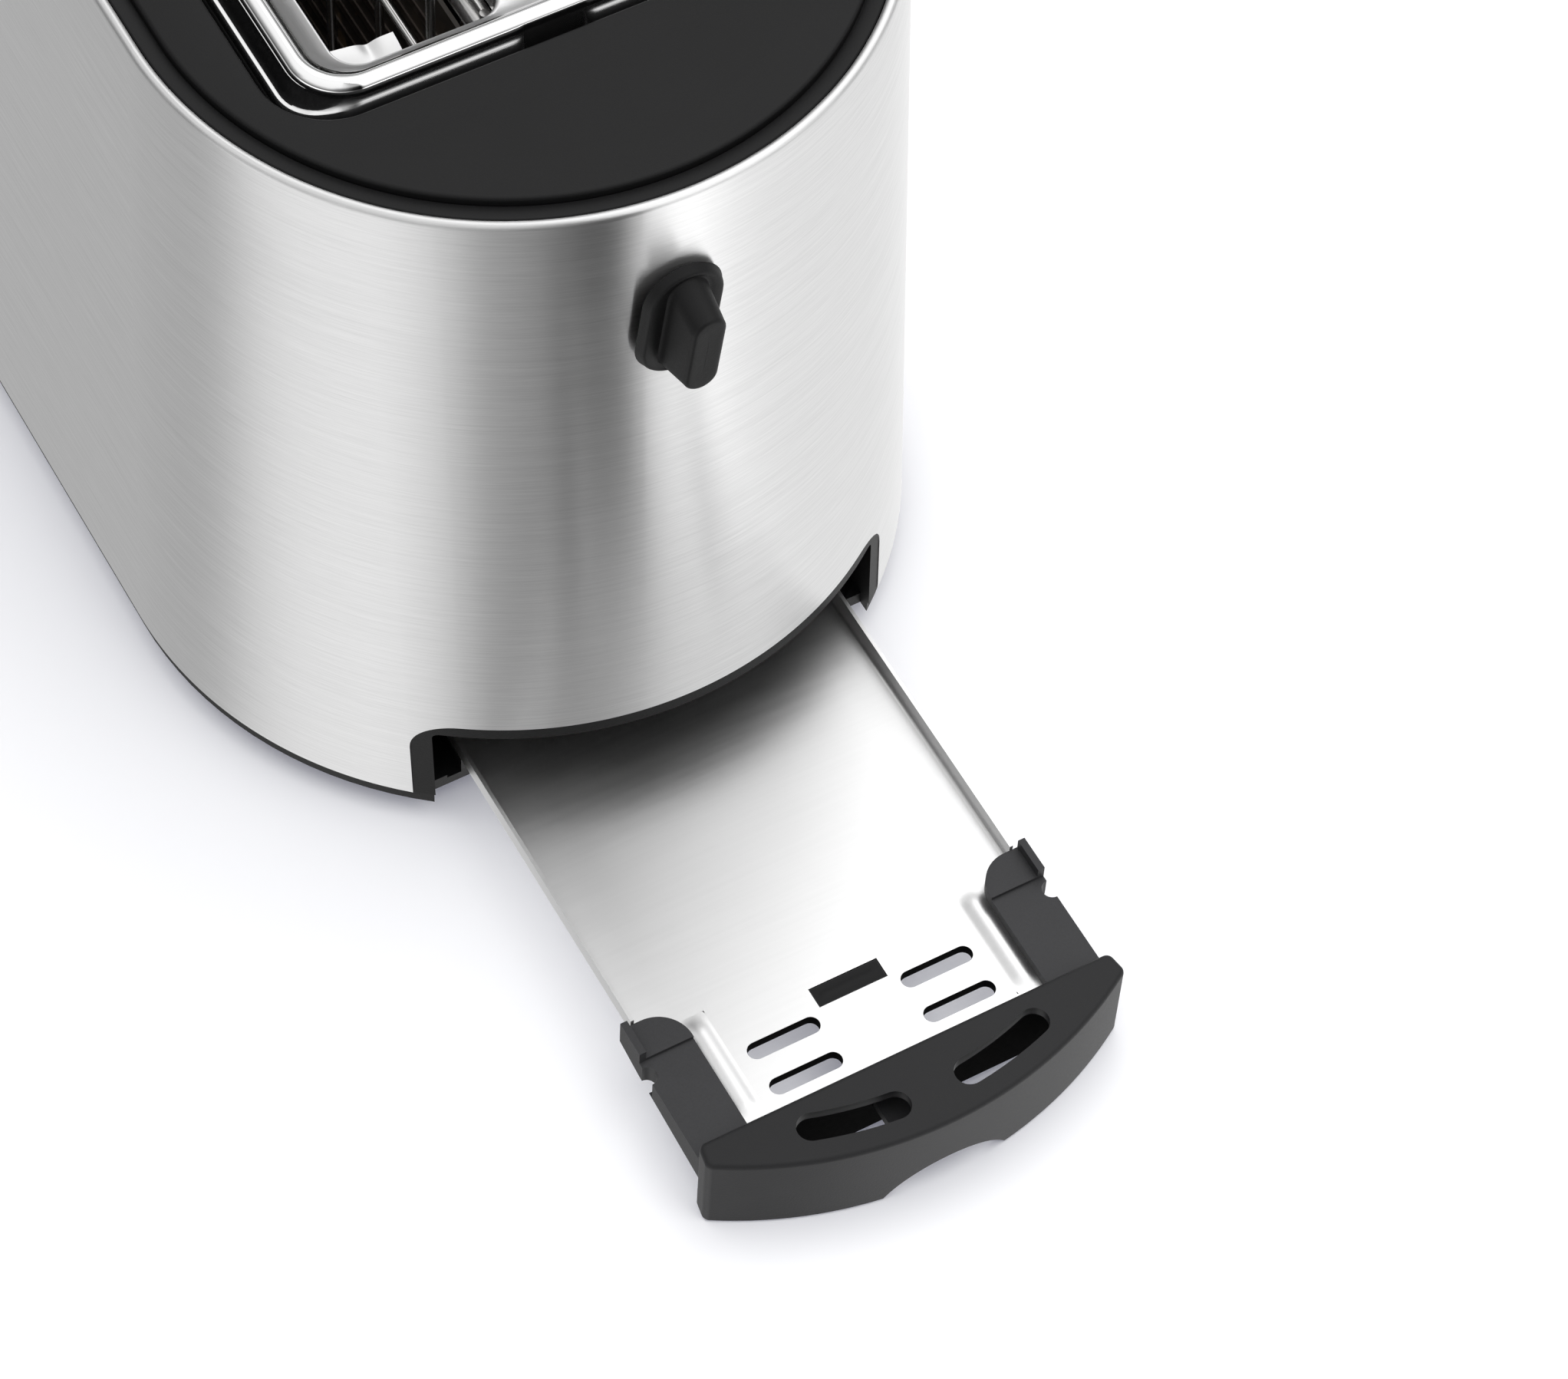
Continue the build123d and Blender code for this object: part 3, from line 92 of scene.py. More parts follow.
class ToasterBody(bpy.types.PropertyGroup):
    end_centre: size("End centre", "Distance of each round end's centre from the middle", 0.060)
    end_radius: size("End radius", "Radius of the round ends at the foot", 0.090)
    bottom: size("Wall foot", "Height of the wall's lower edge", 0.010)
    rim: size("Rim height", "Height of the rolled rim", 0.1965)
    lean: size("Lean", "How far the wall leans in from foot to rim", 0.0087)
    wall: size("Wall thickness", "Thickness of the wall sheet", 0.0009)
    roll: size("Rim roll", "Radius of the rolled rim", 0.0013)
    door_half: size("Doorway half-width", "Half-width of the crumb tray's doorway", 0.058)
    door_top: size("Doorway top", "Height of the doorway's upper edge", 0.0357)
    door_corner: size("Doorway corner", "Radius of the doorway's corners", 0.009)
    panel_half: size("Panel half-width", "Half-width of the control panel's window", 0.032)
    panel_bottom: size("Panel foot", "Height of the window's lower edge", 0.026)
    panel_top: size("Panel top", "Height of the window's upper edge", 0.174)
    panel_corner: size("Panel corner", "Radius of the window's corners", 0.008)
    gland_x: size("Gland place", "Place of the cord gland along the body", -0.060)
    gland_z: size("Gland height", "Height of the cord gland", 0.033)


class ToasterCover(bpy.types.PropertyGroup):
    ring_top: size("Ring height", "Height of the lower outer ring", 0.1957)
    plate_top: size("Plate height", "Height of the cover plate", 0.1973)
    ring_set: size("Ring set", "Ring's distance in from the wall", 0.0028)
    plate_set: size("Plate set", "Plate edge's distance in from the wall", 0.0064)
    thickness: size("Thickness", "Thickness of the cover", 0.0026)
    well_half_length: size("Well half-length", "Half-length of the frame's well", 0.095)
    well_half_width: size("Well half-width", "Half-width of the frame's well", 0.063)
    well_corner: size("Well corner", "Radius of the well's corners", 0.015)
    well_wall: size("Well wall", "Thickness of the well's wall", 0.0022)
    ledge_top: size("Ledge height", "Height of the ledge at the well's foot", 0.1836)
    ledge_bottom: size("Ledge underside", "Height of the ledge's underside", 0.180)
    ledge_width: size("Ledge width", "Width of the ledge at the long sides", 0.005)


class ToasterFrame(bpy.types.PropertyGroup):
    half_length: size("Half-length", "Half-length of the roll-warmer frame", 0.0935)
    half_width: size("Half-width", "Half-width of the roll-warmer frame", 0.0588)
    corner: size("Corner", "Radius of the frame's corners", 0.013)
    top: size("Top", "Height of the bead's crest", 0.201)
    bead: size("Bead", "Radius of the rolled bead", 0.0022)
    end_set: size("End set", "The bead's distance in from the foot at the short sides", 0.0036)
    side_set: size("Side set", "The bead's distance in from the foot at the long sides", 0.0038)
    foot: size("Foot", "Height of the frame's foot", 0.1839)
    floor: size("Basin floor", "Height of the basin's floor", 0.191)
    slot_half_length: size("Slot half-length", "Half-length of the bread slots", 0.0796)
    slot_inner: size("Slot inner edge", "Inner edge of the bread slots", 0.0093)
    slot_outer: size("Slot outer edge", "Outer edge of the bread slots", 0.0447)
    slot_corner: size("Slot corner", "Radius of the slots' corners", 0.006)
    break_left: size("Break, front", "Front edge of the break in the short sides' skirt", 0.0117)
    break_right: size("Break, rear", "Rear edge of the break in the short sides' skirt", 0.0018)


class ToasterKnob(bpy.types.PropertyGroup):
    y: size("Place", "Place of the knob across the body", -0.0051)
    z: size("Height", "Height of the knob's axis", 0.1642)
    skirt_width: size("Skirt width", "Width of the skirt", 0.0178)
    skirt_height: size("Skirt height", "Height of the skirt", 0.0298)
    skirt_depth: size("Skirt depth", "How far the skirt stands out", 0.0024)
    grip_width: size("Grip width", "Width of the grip's foot", 0.0088)
    grip_height: size("Grip height", "Height of the grip's foot", 0.025)
    tip_width: size("Tip width", "Width of the grip's tip", 0.0074)
    tip_height: size("Tip height", "Height of the grip's tip", 0.0198)
    grip_depth: size("Grip depth", "How far the grip stands out of the skirt", 0.0092)


class ToasterTray(bpy.types.PropertyGroup):
    tail: size("Tail", "Place of the tray's inner end", 0.010)
    front: size("Front", "Place of the sheet's edge inside the handle", 0.2430)
    lip_end: size("Lip end", "Where the side lips stop", 0.2061)
    half_width: size("Half-width", "Half-width of the tray", 0.0465)
    floor: size("Floor", "Height of the tray's floor", 0.0147)
    lip: size("Lip", "Height of the lips above the floor", 0.0048)
    sheet: size("Sheet", "Thickness of the tray's sheet", 0.0008)
    slot_inner: size("Slot inner end", "Inner end of the oblong slots", 0.010)
    slot_outer: size("Slot outer end", "Outer end of the oblong slots", 0.0272)
    slot_width: size("Slot width", "Width of the oblong slots", 0.0042)
    rib_y: size("Rib place", "Place of the stiffening ribs", 0.0336)
    rib_width: size("Rib width", "Width of the stiffening ribs", 0.0066)
    rib_height: size("Rib height", "Height of the stiffening ribs", 0.0007)


class ToasterLooks(bpy.types.PropertyGroup):
    steel: tint("Shell steel", "Colour of the brushed wall", (0.68, 0.68, 0.68))
    chrome: tint("Frame chrome", "Colour of the polished frame", (0.90, 0.90, 0.90))
    tray: tint("Tray steel", "Colour of the crumb tray", (0.80, 0.80, 0.80))
    black: tint("Black plastic", "Colour of cover, base and knob", (0.0068, 0.0068, 0.0071))
    grey: tint("Grey plastic", "Colour of the tray's handle", (0.038, 0.038, 0.040))
    sky: level("Sky strength", "Brightness of the studio dome", 1.0)
    key: FloatProperty(name="Key lamp", description="Power of the softbox behind the body", default=4.0,
                       subtype="POWER", unit="POWER", min=0.0)
    fill: FloatProperty(name="Overhead lamp", description="Power of the large lamp overhead", default=18.0,
                        subtype="POWER", unit="POWER", min=0.0)
    floor: level("Floor tone", "Share of light that the floor gives back", 0.88)


def in_mm(group):
    """The group's lengths in millimetres."""
    return SimpleNamespace(**{name: getattr(group, name) / MM for name in group.__annotations__})


def spots(*coordinates):
    """Points, or places on a map, from coordinates that are stretched to one shape."""
    return np.stack(np.broadcast_arrays(*coordinates), axis=-1)


def walked(points):
    """The way walked from the first row of points: the lengths of the steps added up."""
    steps = np.linalg.norm(np.diff(points, axis=0), axis=-1)
    return np.cumsum(np.concatenate([0 * steps[:1], steps]), axis=0)


def both_ways(values):
    """The values and their negatives."""
    return np.concatenate([values, np.negative(values)])


def midway(values):
    """The middles between neighbouring values."""
    return (values[1:] + values[:-1]) / 2


def ease(t):
    """Cubic step: 0 below 0, 1 above 1, 3t^2 - 2t^3 between."""
    t = np.clip(t, 0.0, 1.0)
    return t * t * (3.0 - 2.0 * t)


def flowing(points, count):
    """Catmull-Rom curve through the points: each span is the cubic whose end slopes are half its neighbours' gap."""
    points = np.asarray(points, float)
    padded = np.concatenate([2 * points[:1] - points[1:2], points, 2 * points[-1:] - points[-2:-1]])
    t = np.linspace(0, len(points) - 1, count)
    span = np.minimum(t.astype(int), len(points) - 2)
    t = (t - span)[:, None]
    a, b, c, d = (padded[span + k] for k in range(4))
    return 0.5 * (2 * b + (c - a) * t + (2 * a - 5 * b + 4 * c - d) * t**2 + (3 * b - 3 * c + d - a) * t**3)


class Skin:
    """Grids of points, in millimetres, gathered into one mesh."""

    def __init__(self):
        self.points, self.quads, self.maps, self.marks, self.count = [], [], [], [], 0

    def grid(self, points, keep=None, uv=None, mark=0.0, flip=False):
        """Adds rows by columns of points, whose neighbours share faces; keep chooses faces. Returns the skin."""
        points = np.asarray(points, float)
        rows, columns = points.shape[:2]
        index = np.arange(rows * columns).reshape(rows, columns) + self.count
        quads = np.stack([index[:-1, :-1], index[:-1, 1:], index[1:, 1:], index[1:, :-1]], axis=-1)
        quads = quads.reshape(-1, 4) if keep is None else quads[keep]
        self.quads.append(quads[:, ::-1] if flip else quads)
        self.points.append(points.reshape(-1, 3))
        self.maps.append(np.zeros((rows * columns, 2)) if uv is None else np.asarray(uv, float).reshape(-1, 2))
        self.marks.append(np.broadcast_to(np.asarray(mark, float), (rows, columns)).ravel())
        self.count += rows * columns
        return self

    def piece(self, name, closed=True, crease=35):
        """Merges doubles, turns a closed skin outwards and returns the object."""
        mesh = bpy.data.meshes.new(name)
        mesh.from_pydata((np.concatenate(self.points) * MM).tolist(), [], np.concatenate(self.quads).tolist())
        corners = np.empty(len(mesh.loops), np.int32)
        mesh.loops.foreach_get("vertex_index", corners)
        flat = mesh.uv_layers.new(name="surface")
        flat.uv.foreach_set("vector", (np.concatenate(self.maps)[corners] * MM).astype(np.float32).ravel())
        mark = mesh.attributes.new("mark", "FLOAT", "POINT")
        mark.data.foreach_set("value", np.concatenate(self.marks).astype(np.float32))
        work = bmesh.new()
        work.from_mesh(mesh)
        bmesh.ops.remove_doubles(work, verts=work.verts, dist=MERGE_REACH)
        if closed:
            bmesh.ops.recalc_face_normals(work, faces=work.faces)
        work.to_mesh(mesh)
        work.free()
        mesh.shade_smooth()
        mesh.set_sharp_from_angle(angle=radians(crease))
        obj = bpy.data.objects.new(name, mesh)
        bpy.context.scene.collection.objects.link(obj)
        return obj


def settle(obj, node, body, finish):
    """Gives the piece its finish and lets it ride on the body, in the node's stead where one is named."""
    obj.data.materials.append(finishes[finish])
    if node:
        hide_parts(node)
    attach(obj, body)


def thicken(obj, thickness, offset, crease=40):
    """Gives an open sheet its thickness, in millimetres, for good, with crisp rims, and returns it."""
    wall = obj.modifiers.new("sheet", "SOLIDIFY")
    wall.thickness = thickness * MM
    wall.offset = offset
    wall.use_even_offset = True
    thin, graph = obj.data, bpy.context.evaluated_depsgraph_get()
    solid = bpy.data.meshes.new_from_object(obj.evaluated_get(graph), depsgraph=graph)
    obj.modifiers.clear()
    obj.data = solid
    bpy.data.meshes.remove(thin)
    solid.name = obj.name
    solid.set_sharp_from_angle(angle=radians(crease))
    return obj


class Wire:
    """A node's output; sums, differences and products with it add Math nodes to its tree."""

    def __init__(self, tree, socket):
        self.tree, self.socket = tree, socket

    def join(self, operation, left, right):
        return Wire.add(self.tree, "ShaderNodeMath", {"operation": operation}, {0: left, 1: right})

    def __add__(self, other):
        return self.join("ADD", self, other)

    def __radd__(self, other):
        return self.join("ADD", other, self)

    def __sub__(self, other):
        return self.join("SUBTRACT", self, other)

    def __rsub__(self, other):
        return self.join("SUBTRACT", other, self)

    def __mul__(self, other):
        return self.join("MULTIPLY", self, other)

    def __rmul__(self, other):
        return self.join("MULTIPLY", other, self)

    def twin(self, name):
        """Another output of the same node."""
        return Wire(self.tree, self.socket.node.outputs[name])

    @staticmethod
    def add(tree, kind, settings=None, inputs=None, out=0):
        """Adds a node: settings first, then values or wires for its sockets. Returns one output, if it has any."""
        node = tree.nodes.new(kind)
        for name, value in (settings or {}).items():
            if name == "stops":
                ramp = node.color_ramp.elements
                while len(ramp) < len(value):
                    ramp.new(0.5)
                for element, (place, tone) in zip(ramp, value):
                    element.position = place
                    element.color = (tone, tone, tone, 1)
            else:
                setattr(node, name, value)
        for name, value in (inputs or {}).items():
            if isinstance(value, Wire):
                tree.links.new(value.socket, node.inputs[name])
            else:
                node.inputs[name].default_value = value
        return Wire(tree, node.outputs[out]) if node.outputs else None


class Finish:
    """A material in the making: its tree, shader and coordinates."""

    def __init__(self, name, **plain):
        self.material = bpy.data.materials.new(name)
        self.material.use_nodes = True
        self.tree = self.material.node_tree
        self.node = partial(Wire.add, self.tree)
        self.shader = self.tree.nodes["Principled BSDF"]
        for socket, value in plain.items():
            self.shader.inputs[socket.replace("_", " ")].default_value = value
        self.place = self.node("ShaderNodeTexCoord", out="Object")

    def scaled(self, vector, x, y, z):
        """The vector stretched along each axis."""
        return self.node("ShaderNodeVectorMath", {"operation": "MULTIPLY"}, {0: vector, 1: (x, y, z)})

    def noise(self, vector, scale, detail=2.0, roughness=0.5):
        """Noise on the vector, which three scales stretch along each axis."""
        if not np.isscalar(scale):
            vector, scale = self.scaled(vector, *scale), 1.0
        return self.node("ShaderNodeTexNoise", None, {"Vector": vector, "Scale": scale, "Detail": detail,
                                                      "Roughness": roughness}, "Fac")

    def ramp(self, factor, *stops):
        return self.node("ShaderNodeValToRGB", {"stops": stops}, {0: factor}, "Color")

    def mix(self, factor, first, second):
        """The colour that goes from first to second with the factor."""
        def full(colour):
            return colour if isinstance(colour, Wire) else (*colour, 1)
        return self.node("ShaderNodeMix", {"data_type": "RGBA"}, {0: factor, 6: full(first), 7: full(second)}, 2)

    def shade(self, factor, colour, low, high):
        """The colour times a share that goes from low to high with the factor."""
        return self.mix(factor, toned(colour, low), toned(colour, high))

    def bump(self, height, strength, distance):
        return self.node("ShaderNodeBump", None, {"Strength": strength, "Distance": distance, "Height": height})

    def feed(self, **links):
        """Links wires to the shader's sockets and returns the material."""
        for socket, wire in links.items():
            self.tree.links.new(wire.socket, self.shader.inputs[socket.replace("_", " ")])
        return self.material


def toned(colour, share):
    """The colour times a share."""
    return tuple(float(channel) * share for channel in colour)


def brushed_wall(colour):
    """Steel brushed along the wall: noise a third of a millimetre high and a centimetre long, on the wall's map."""
    f = Finish("brushed_wall", Metallic=1.0, Anisotropic=0.95, Anisotropic_Rotation=0.25)
    along = f.node("ShaderNodeUVMap", {"uv_map": "surface"})
    streak = f.noise(along, (90, 3400, 1), 3.0, 0.6) * 0.6 + f.noise(along, (22, 1100, 1)) * 0.4
    base = f.shade(f.ramp(streak, (0.32, 0.0), (0.68, 1.0)), colour, 0.90, 1.10)
    rough = 0.23 + streak * 0.16
    return f.feed(Base_Color=base, Roughness=rough, Normal=f.bump(streak, 0.25, 0.00012))


def moulded(name, colour, grain, roughness, spread=0.25, handle=False, shine=0.20):
    """Moulded plastic: a fine even grain in bump and roughness, with slow cloudy tone. The tray's handle is darker
    on its top than on its arms and front."""
    f = Finish(name, Specular_IOR_Level=shine)
    pitted = f.noise(f.place, grain, 2.0, 0.6)
    cloud = f.noise(f.place, 60.0, 3.0, 0.5)
    base = f.shade(pitted * 0.6 + cloud * 0.4, colour, 1 - spread, 1 + spread)
    if handle:
        low, high, share = 0.0222, 0.0235, 0.72
        height = f.node("ShaderNodeSeparateXYZ", None, {0: f.place}, "Z")
        top = f.node("ShaderNodeMapRange", None, {0: height, 1: low, 2: high, 3: 0.0, 4: share})
        base = f.mix(top, base, toned(colour, 0.25))
    return f.feed(Base_Color=base, Roughness=roughness - 0.08 + pitted * 0.16,
                  Normal=f.bump(pitted, 0.18, 0.00015))


def polished_frame(colour):
    """Chrome that is a mirror on the bead and brushed on the basin's slope, by the mark the mesh carries."""
    f = Finish("polished_chrome", Metallic=1.0)
    along = f.node("ShaderNodeUVMap", {"uv_map": "surface"})
    mark = f.node("ShaderNodeAttribute", {"attribute_name": "mark"}, None, "Fac")
    streak = f.noise(along, (120, 2600, 1), 3.0, 0.6)
    smear = f.noise(f.place, 45.0, 3.0, 0.55)
    rough = 0.045 + smear * 0.02 + mark * (0.26 + streak * 0.16)
    base = f.shade(mark * streak, colour, 1.0, 0.80)
    return f.feed(Base_Color=base, Roughness=rough, Normal=f.bump(streak * mark, 0.12, 0.00008))


def rolled_sheet(name, colour, roughness, grain=(30, 900, 900), bump=0.10):
    """Rolled metal sheet: a grain along the axis with the least scale, slow cloud in roughness, faint tone."""
    f = Finish(name, Metallic=1.0)
    line = f.noise(f.place, grain, 3.0, 0.6)
    cloud = f.noise(f.place, 35.0, 3.0, 0.55)
    base = f.shade(line * 0.5 + cloud * 0.5, colour, 0.92, 1.06)
    return f.feed(Base_Color=base, Roughness=roughness - 0.07 + line * 0.08 + cloud * 0.08,
                  Normal=f.bump(line, bump, 0.0001))


def mica_board():
    """Dark mica with pale and warm flecks: stretched cells picked out by a ramp."""
    f = Finish("mica_board", Specular_IOR_Level=0.5)
    flake = f.node("ShaderNodeTexVoronoi", {"feature": "F1"},
                   {"Vector": f.scaled(f.place, 260, 260, 90), "Scale": 1.0}, "Color")
    tone = f.node("ShaderNodeSeparateColor", None, {"Color": flake}, "Red")
    stain = f.noise(f.place, 40.0, 4.0, 0.6)
    fleck = f.ramp(tone, (0.0, 0.0), (0.90, 0.04), (0.97, 0.6))
    base = f.mix(fleck, f.mix(stain, (0.010, 0.009, 0.008), (0.032, 0.028, 0.024)), (0.20, 0.13, 0.07))
    return f.feed(Base_Color=base, Roughness=0.42 + stain * 0.3, Normal=f.bump(tone, 0.15, 0.0001))


def heater_ribbon():
    """Heating ribbon: dark alloy with brown heat tints in bands."""
    f = Finish("heater_ribbon", Metallic=1.0)
    band = f.noise(f.place, (120, 120, 25))
    base = f.mix(band, (0.22, 0.19, 0.17), (0.36, 0.30, 0.26))
    return f.feed(Base_Color=base, Roughness=0.30 + band * 0.25)


def drawn_wire(name, colour, roughness):
    """Drawn wire or turned steel: fine rings of tone and roughness."""
    f = Finish(name, Metallic=1.0)
    ring = f.noise(f.place, (500, 500, 120))
    base = f.shade(ring, colour, 0.85, 1.08)
    return f.feed(Base_Color=base, Roughness=roughness - 0.06 + ring * 0.12, Normal=f.bump(ring, 0.06, 0.00005))


def circuit_board():
    """Brown laminate with a faint weave and darker copper runs under the lacquer."""
    f = Finish("circuit_board", Coat_Weight=0.3, Coat_Roughness=0.25)
    weave = f.node("ShaderNodeTexWave", {"wave_type": "BANDS", "bands_direction": "Z"},
                   {"Vector": f.place, "Scale": 260.0, "Distortion": 1.5}, "Fac")
    run = f.node("ShaderNodeTexBrick", {"offset": 0.5},
                 {"Vector": f.scaled(f.place, 1, 160, 160), "Mortar Size": 0.12, "Scale": 1.0}, "Fac")
    base = f.mix(run, f.mix(weave, (0.16, 0.085, 0.035), (0.20, 0.11, 0.05)), (0.10, 0.055, 0.02))
    return f.feed(Base_Color=base, Roughness=0.5 + weave * 0.15)


def make_finishes(looks):
    """Every finish of the toaster: one for each of the record's slots, and those of the wall, the chrome, the
    controls and the near-black that paints shade inside the handle and under the tray's slots."""
    steel, chrome, tray, black, grey = (tuple(colour) for colour in (looks.steel, looks.chrome, looks.tray,
                                                                     looks.black, looks.grey))
    finishes.update({
        "wall": brushed_wall(steel),
        "chrome": polished_frame(chrome),
        "brushed_shell": rolled_sheet("shell_sheet", steel, 0.45, (40, 40, 2800)),
        "polished_frame": rolled_sheet("frame_sheet", chrome, 0.18),
        "black_plastic": moulded("black_plastic", black, 2600.0, 0.52),
        "grey_plastic": moulded("grey_plastic", grey, 2200.0, 0.50, handle=True),
        "tray_steel": rolled_sheet("tray_steel", tray, 0.36, (900, 25, 900), 0.06),
        "bright_sheet": rolled_sheet("bright_sheet", (0.60, 0.60, 0.60), 0.38),
        "mica": mica_board(),
        "ribbon": heater_ribbon(),
        "wire": drawn_wire("guard_wire", (0.68, 0.67, 0.66), 0.22),
        "control_grey": moulded("control_grey", (0.030, 0.030, 0.031), 1600.0, 0.52, 0.10),
        # Painted shade: near-black with no shine, for pieces that stand in for the shade inside the handle and under
        # the tray
        "deep_black": moulded("deep_black", (0.0025, 0.0025, 0.0027), 900.0, 0.85, shine=0.03),
        "rubber": moulded("foot_rubber", (0.020, 0.020, 0.020), 1800.0, 0.78),
        "screw_steel": drawn_wire("screw_steel", (0.55, 0.55, 0.56), 0.30),
        "gear_plastic": moulded("gear_plastic", (0.040, 0.037, 0.033), 1500.0, 0.50, 0.12),
        "board": circuit_board(),
        "magnet_iron": rolled_sheet("magnet_iron", (0.36, 0.35, 0.34), 0.45, (600, 600, 60)),
        "slider_metal": rolled_sheet("slider_metal", (0.58, 0.59, 0.60), 0.38, (60, 60, 60), 0.04),
    })


def oval_columns(sizes, right, left, sides):
    """Columns round the body: the centre's x, which end it bends round, the angle from the end's axis and the
    run along the foot. It goes round the +X end, along the far side, round the -X end and back along the front."""
    right, left = np.radians(right), np.radians(left)
    parts = [(sides[-1:], 0, -pi / 2), (sizes.end_centre, 1, right), (sides[::-1], 0, pi / 2),
             (-sizes.end_centre, -1, left[::-1]), (sides, 0, -pi / 2)]
    centre, end, angle = np.concatenate([spots(*part) for part in parts]).T
    x = centre + end * sizes.end_radius * np.cos(angle)
    y = sizes.end_radius * np.sin(angle)
    return SimpleNamespace(centre=centre, end=end, angle=angle, x=x, y=y, run=walked(spots(x, y)))


def wall_radius(sizes, z):
    """The end radius at a height: it shrinks evenly from the foot to the rim."""
    return sizes.end_radius - sizes.lean * (z - sizes.bottom) / (sizes.rim - sizes.bottom)


def oval_wall(sizes, columns, z, inset=0.0):
    """Points of the leaning wall. Within 45 degrees of the end's axis a column keeps its y, and beyond that the
    angles are shared out evenly up to the straight sides."""
    radius, turn = wall_radius(sizes, z) - inset, np.abs(columns.angle)

    def upright(angle):
        return np.arcsin(np.clip(sizes.end_radius * np.sin(angle) / radius, 0, 1))

    near, edge = upright(turn), upright(pi / 4)
    far = edge + (turn - pi / 4) * (pi / 2 - edge) / (pi / 4)
    angle = np.where(turn < pi / 4, near, far) * np.sign(columns.angle)
    return spots(columns.centre + columns.end * radius * np.cos(angle), radius * np.sin(angle), z)


def shell_piece(body, knob):
    """The wall: rows follow the foot, the doorway's and window's edges and the rim; the rim is half a circle in
    section, rolled inwards. Faces inside the doorway, the window, the knob's and the gland's holes are left out."""

    def turned(places, *degrees):
        """Angles round an end, in order: those of places across it, and more in degrees."""
        return np.unique(np.round(np.concatenate([np.degrees(np.arcsin(places / body.end_radius)), *degrees]), 6))

    def bend(half, corner, count):
        """Places across a round corner, at even angles."""
        return half - corner + corner * np.sin(np.linspace(0, pi / 2, count))

    def arc(half, corner):
        """A round corner's edge above its circle's centre: the root of r^2 - d^2, or 0 beyond the opening."""
        past = np.clip(y - half + corner, 0, None)
        return np.where(y <= half, np.sqrt(np.clip(corner**2 - past**2, 0, None)), 0)

    # Heights of the rows that no opening sets, and the depth of the rolled rim's inner hem
    above_door, beside_window, halfway, above_window, hem = 60.0, 70.0, 110.0, 182.0, 0.8
    hole = [knob.y - KNOB_HOLE, knob.y + KNOB_HOLE]
    near = np.concatenate([np.arange(0, body.door_half - body.door_corner, 2.0),
                           bend(body.door_half, body.door_corner, 13), [60.5, 63.0]])
    near = np.concatenate([both_ways(near), hole])
    near = near[(np.abs(near - hole[0]) > 0.5) & (np.abs(near - hole[1]) > 0.5) | np.isin(near, hole)]
    window = np.concatenate([np.arange(0, body.panel_half - body.panel_corner, 2.4),
                             bend(body.panel_half, body.panel_corner, 11), np.arange(34, 63, 2.4)])
    gland = np.degrees(np.arccos(GLAND_HOLE / body.end_radius))
    right = turned(near, both_ways(np.arange(46, 89.5, 1.6)))
    left = turned(both_ways(window), both_ways(np.arange(46, 85, 1.6)), [gland, -gland])
    sides = np.array([-60, -53.6, -40, -20, 0, 20, 40, 60.0]) * body.end_centre / 60
    columns = oval_columns(body, right, left, sides)
    y, front, back = np.abs(columns.y), columns.end > 0, columns.end < 0
    drift = ease((np.degrees(np.abs(columns.angle)) - 24) / 46)
    arch = body.door_top - body.door_corner + arc(body.door_half, body.door_corner)
    round_off = arc(body.panel_half, body.panel_corner)
    gland_low, gland_high = body.gland_z - GLAND_HOLE, body.gland_z + GLAND_HOLE
    low = body.panel_bottom + body.panel_corner - round_off
    low = np.where(y <= body.panel_half, low, low + (gland_low - low) * drift)
    beside = np.where(back, beside_window + (gland_high - beside_window) * drift, gland_high)
    heights = np.array(np.broadcast_arrays(
        body.bottom,
        np.where(front, arch, np.where(back, low, gland_low)),
        np.where(front, above_door, beside),
        halfway,
        np.where(back, body.panel_top - body.panel_corner + round_off, knob.z - KNOB_HOLE),
        np.where(back, above_window, knob.z + KNOB_HOLE),
        body.rim - body.roll))
    curl = np.linspace(0, pi, 13)[1:, None]
    roll_z = body.rim - body.roll + body.roll * np.sin(curl) + 0 * columns.run
    roll_in = body.roll * (1 - np.cos(curl)) + 0 * columns.run
    points = np.concatenate([oval_wall(body, columns, heights), oval_wall(body, columns, roll_z, roll_in),
                             oval_wall(body, columns, heights[-1:] - hem, 2 * body.roll)])
    rise = np.concatenate([heights, roll_z + roll_in, heights[-1:] + 8])
    mid_x, mid_y = midway(columns.x), midway(columns.y)
    knob_end, lever_end = mid_x > body.end_centre, mid_x < -body.end_centre
    keep = np.ones((len(points) - 1, len(mid_x)), bool)
    keep[0, knob_end & (np.abs(mid_y) < body.door_half)] = False
    keep[1:4, lever_end & (np.abs(mid_y) < body.panel_half)] = False
    keep[4, knob_end & (np.abs(mid_y - knob.y) < KNOB_HOLE)] = False
    keep[1, (np.abs(mid_x - body.gland_x) < GLAND_HOLE) & (mid_y > 0)] = False
    skin = Skin().grid(points, keep, spots(columns.run, rise))
    return thicken(skin.piece("shell_wall", closed=False, crease=50), body.wall, -1.0)


def ray_oval(angle, centre, radius):
    """Where rays from the middle meet a stadium: on a straight side, or on a circle round an end's centre."""
    c, s = np.abs(np.cos(angle)), np.maximum(np.abs(np.sin(angle)), 1e-9)
    side = radius / s
    end = centre * c + np.sqrt(np.clip(radius**2 - (centre * s)**2, 0, None))
    reach = np.where(side * c <= centre, side, end)
    return reach * np.cos(angle), reach * np.sin(angle)


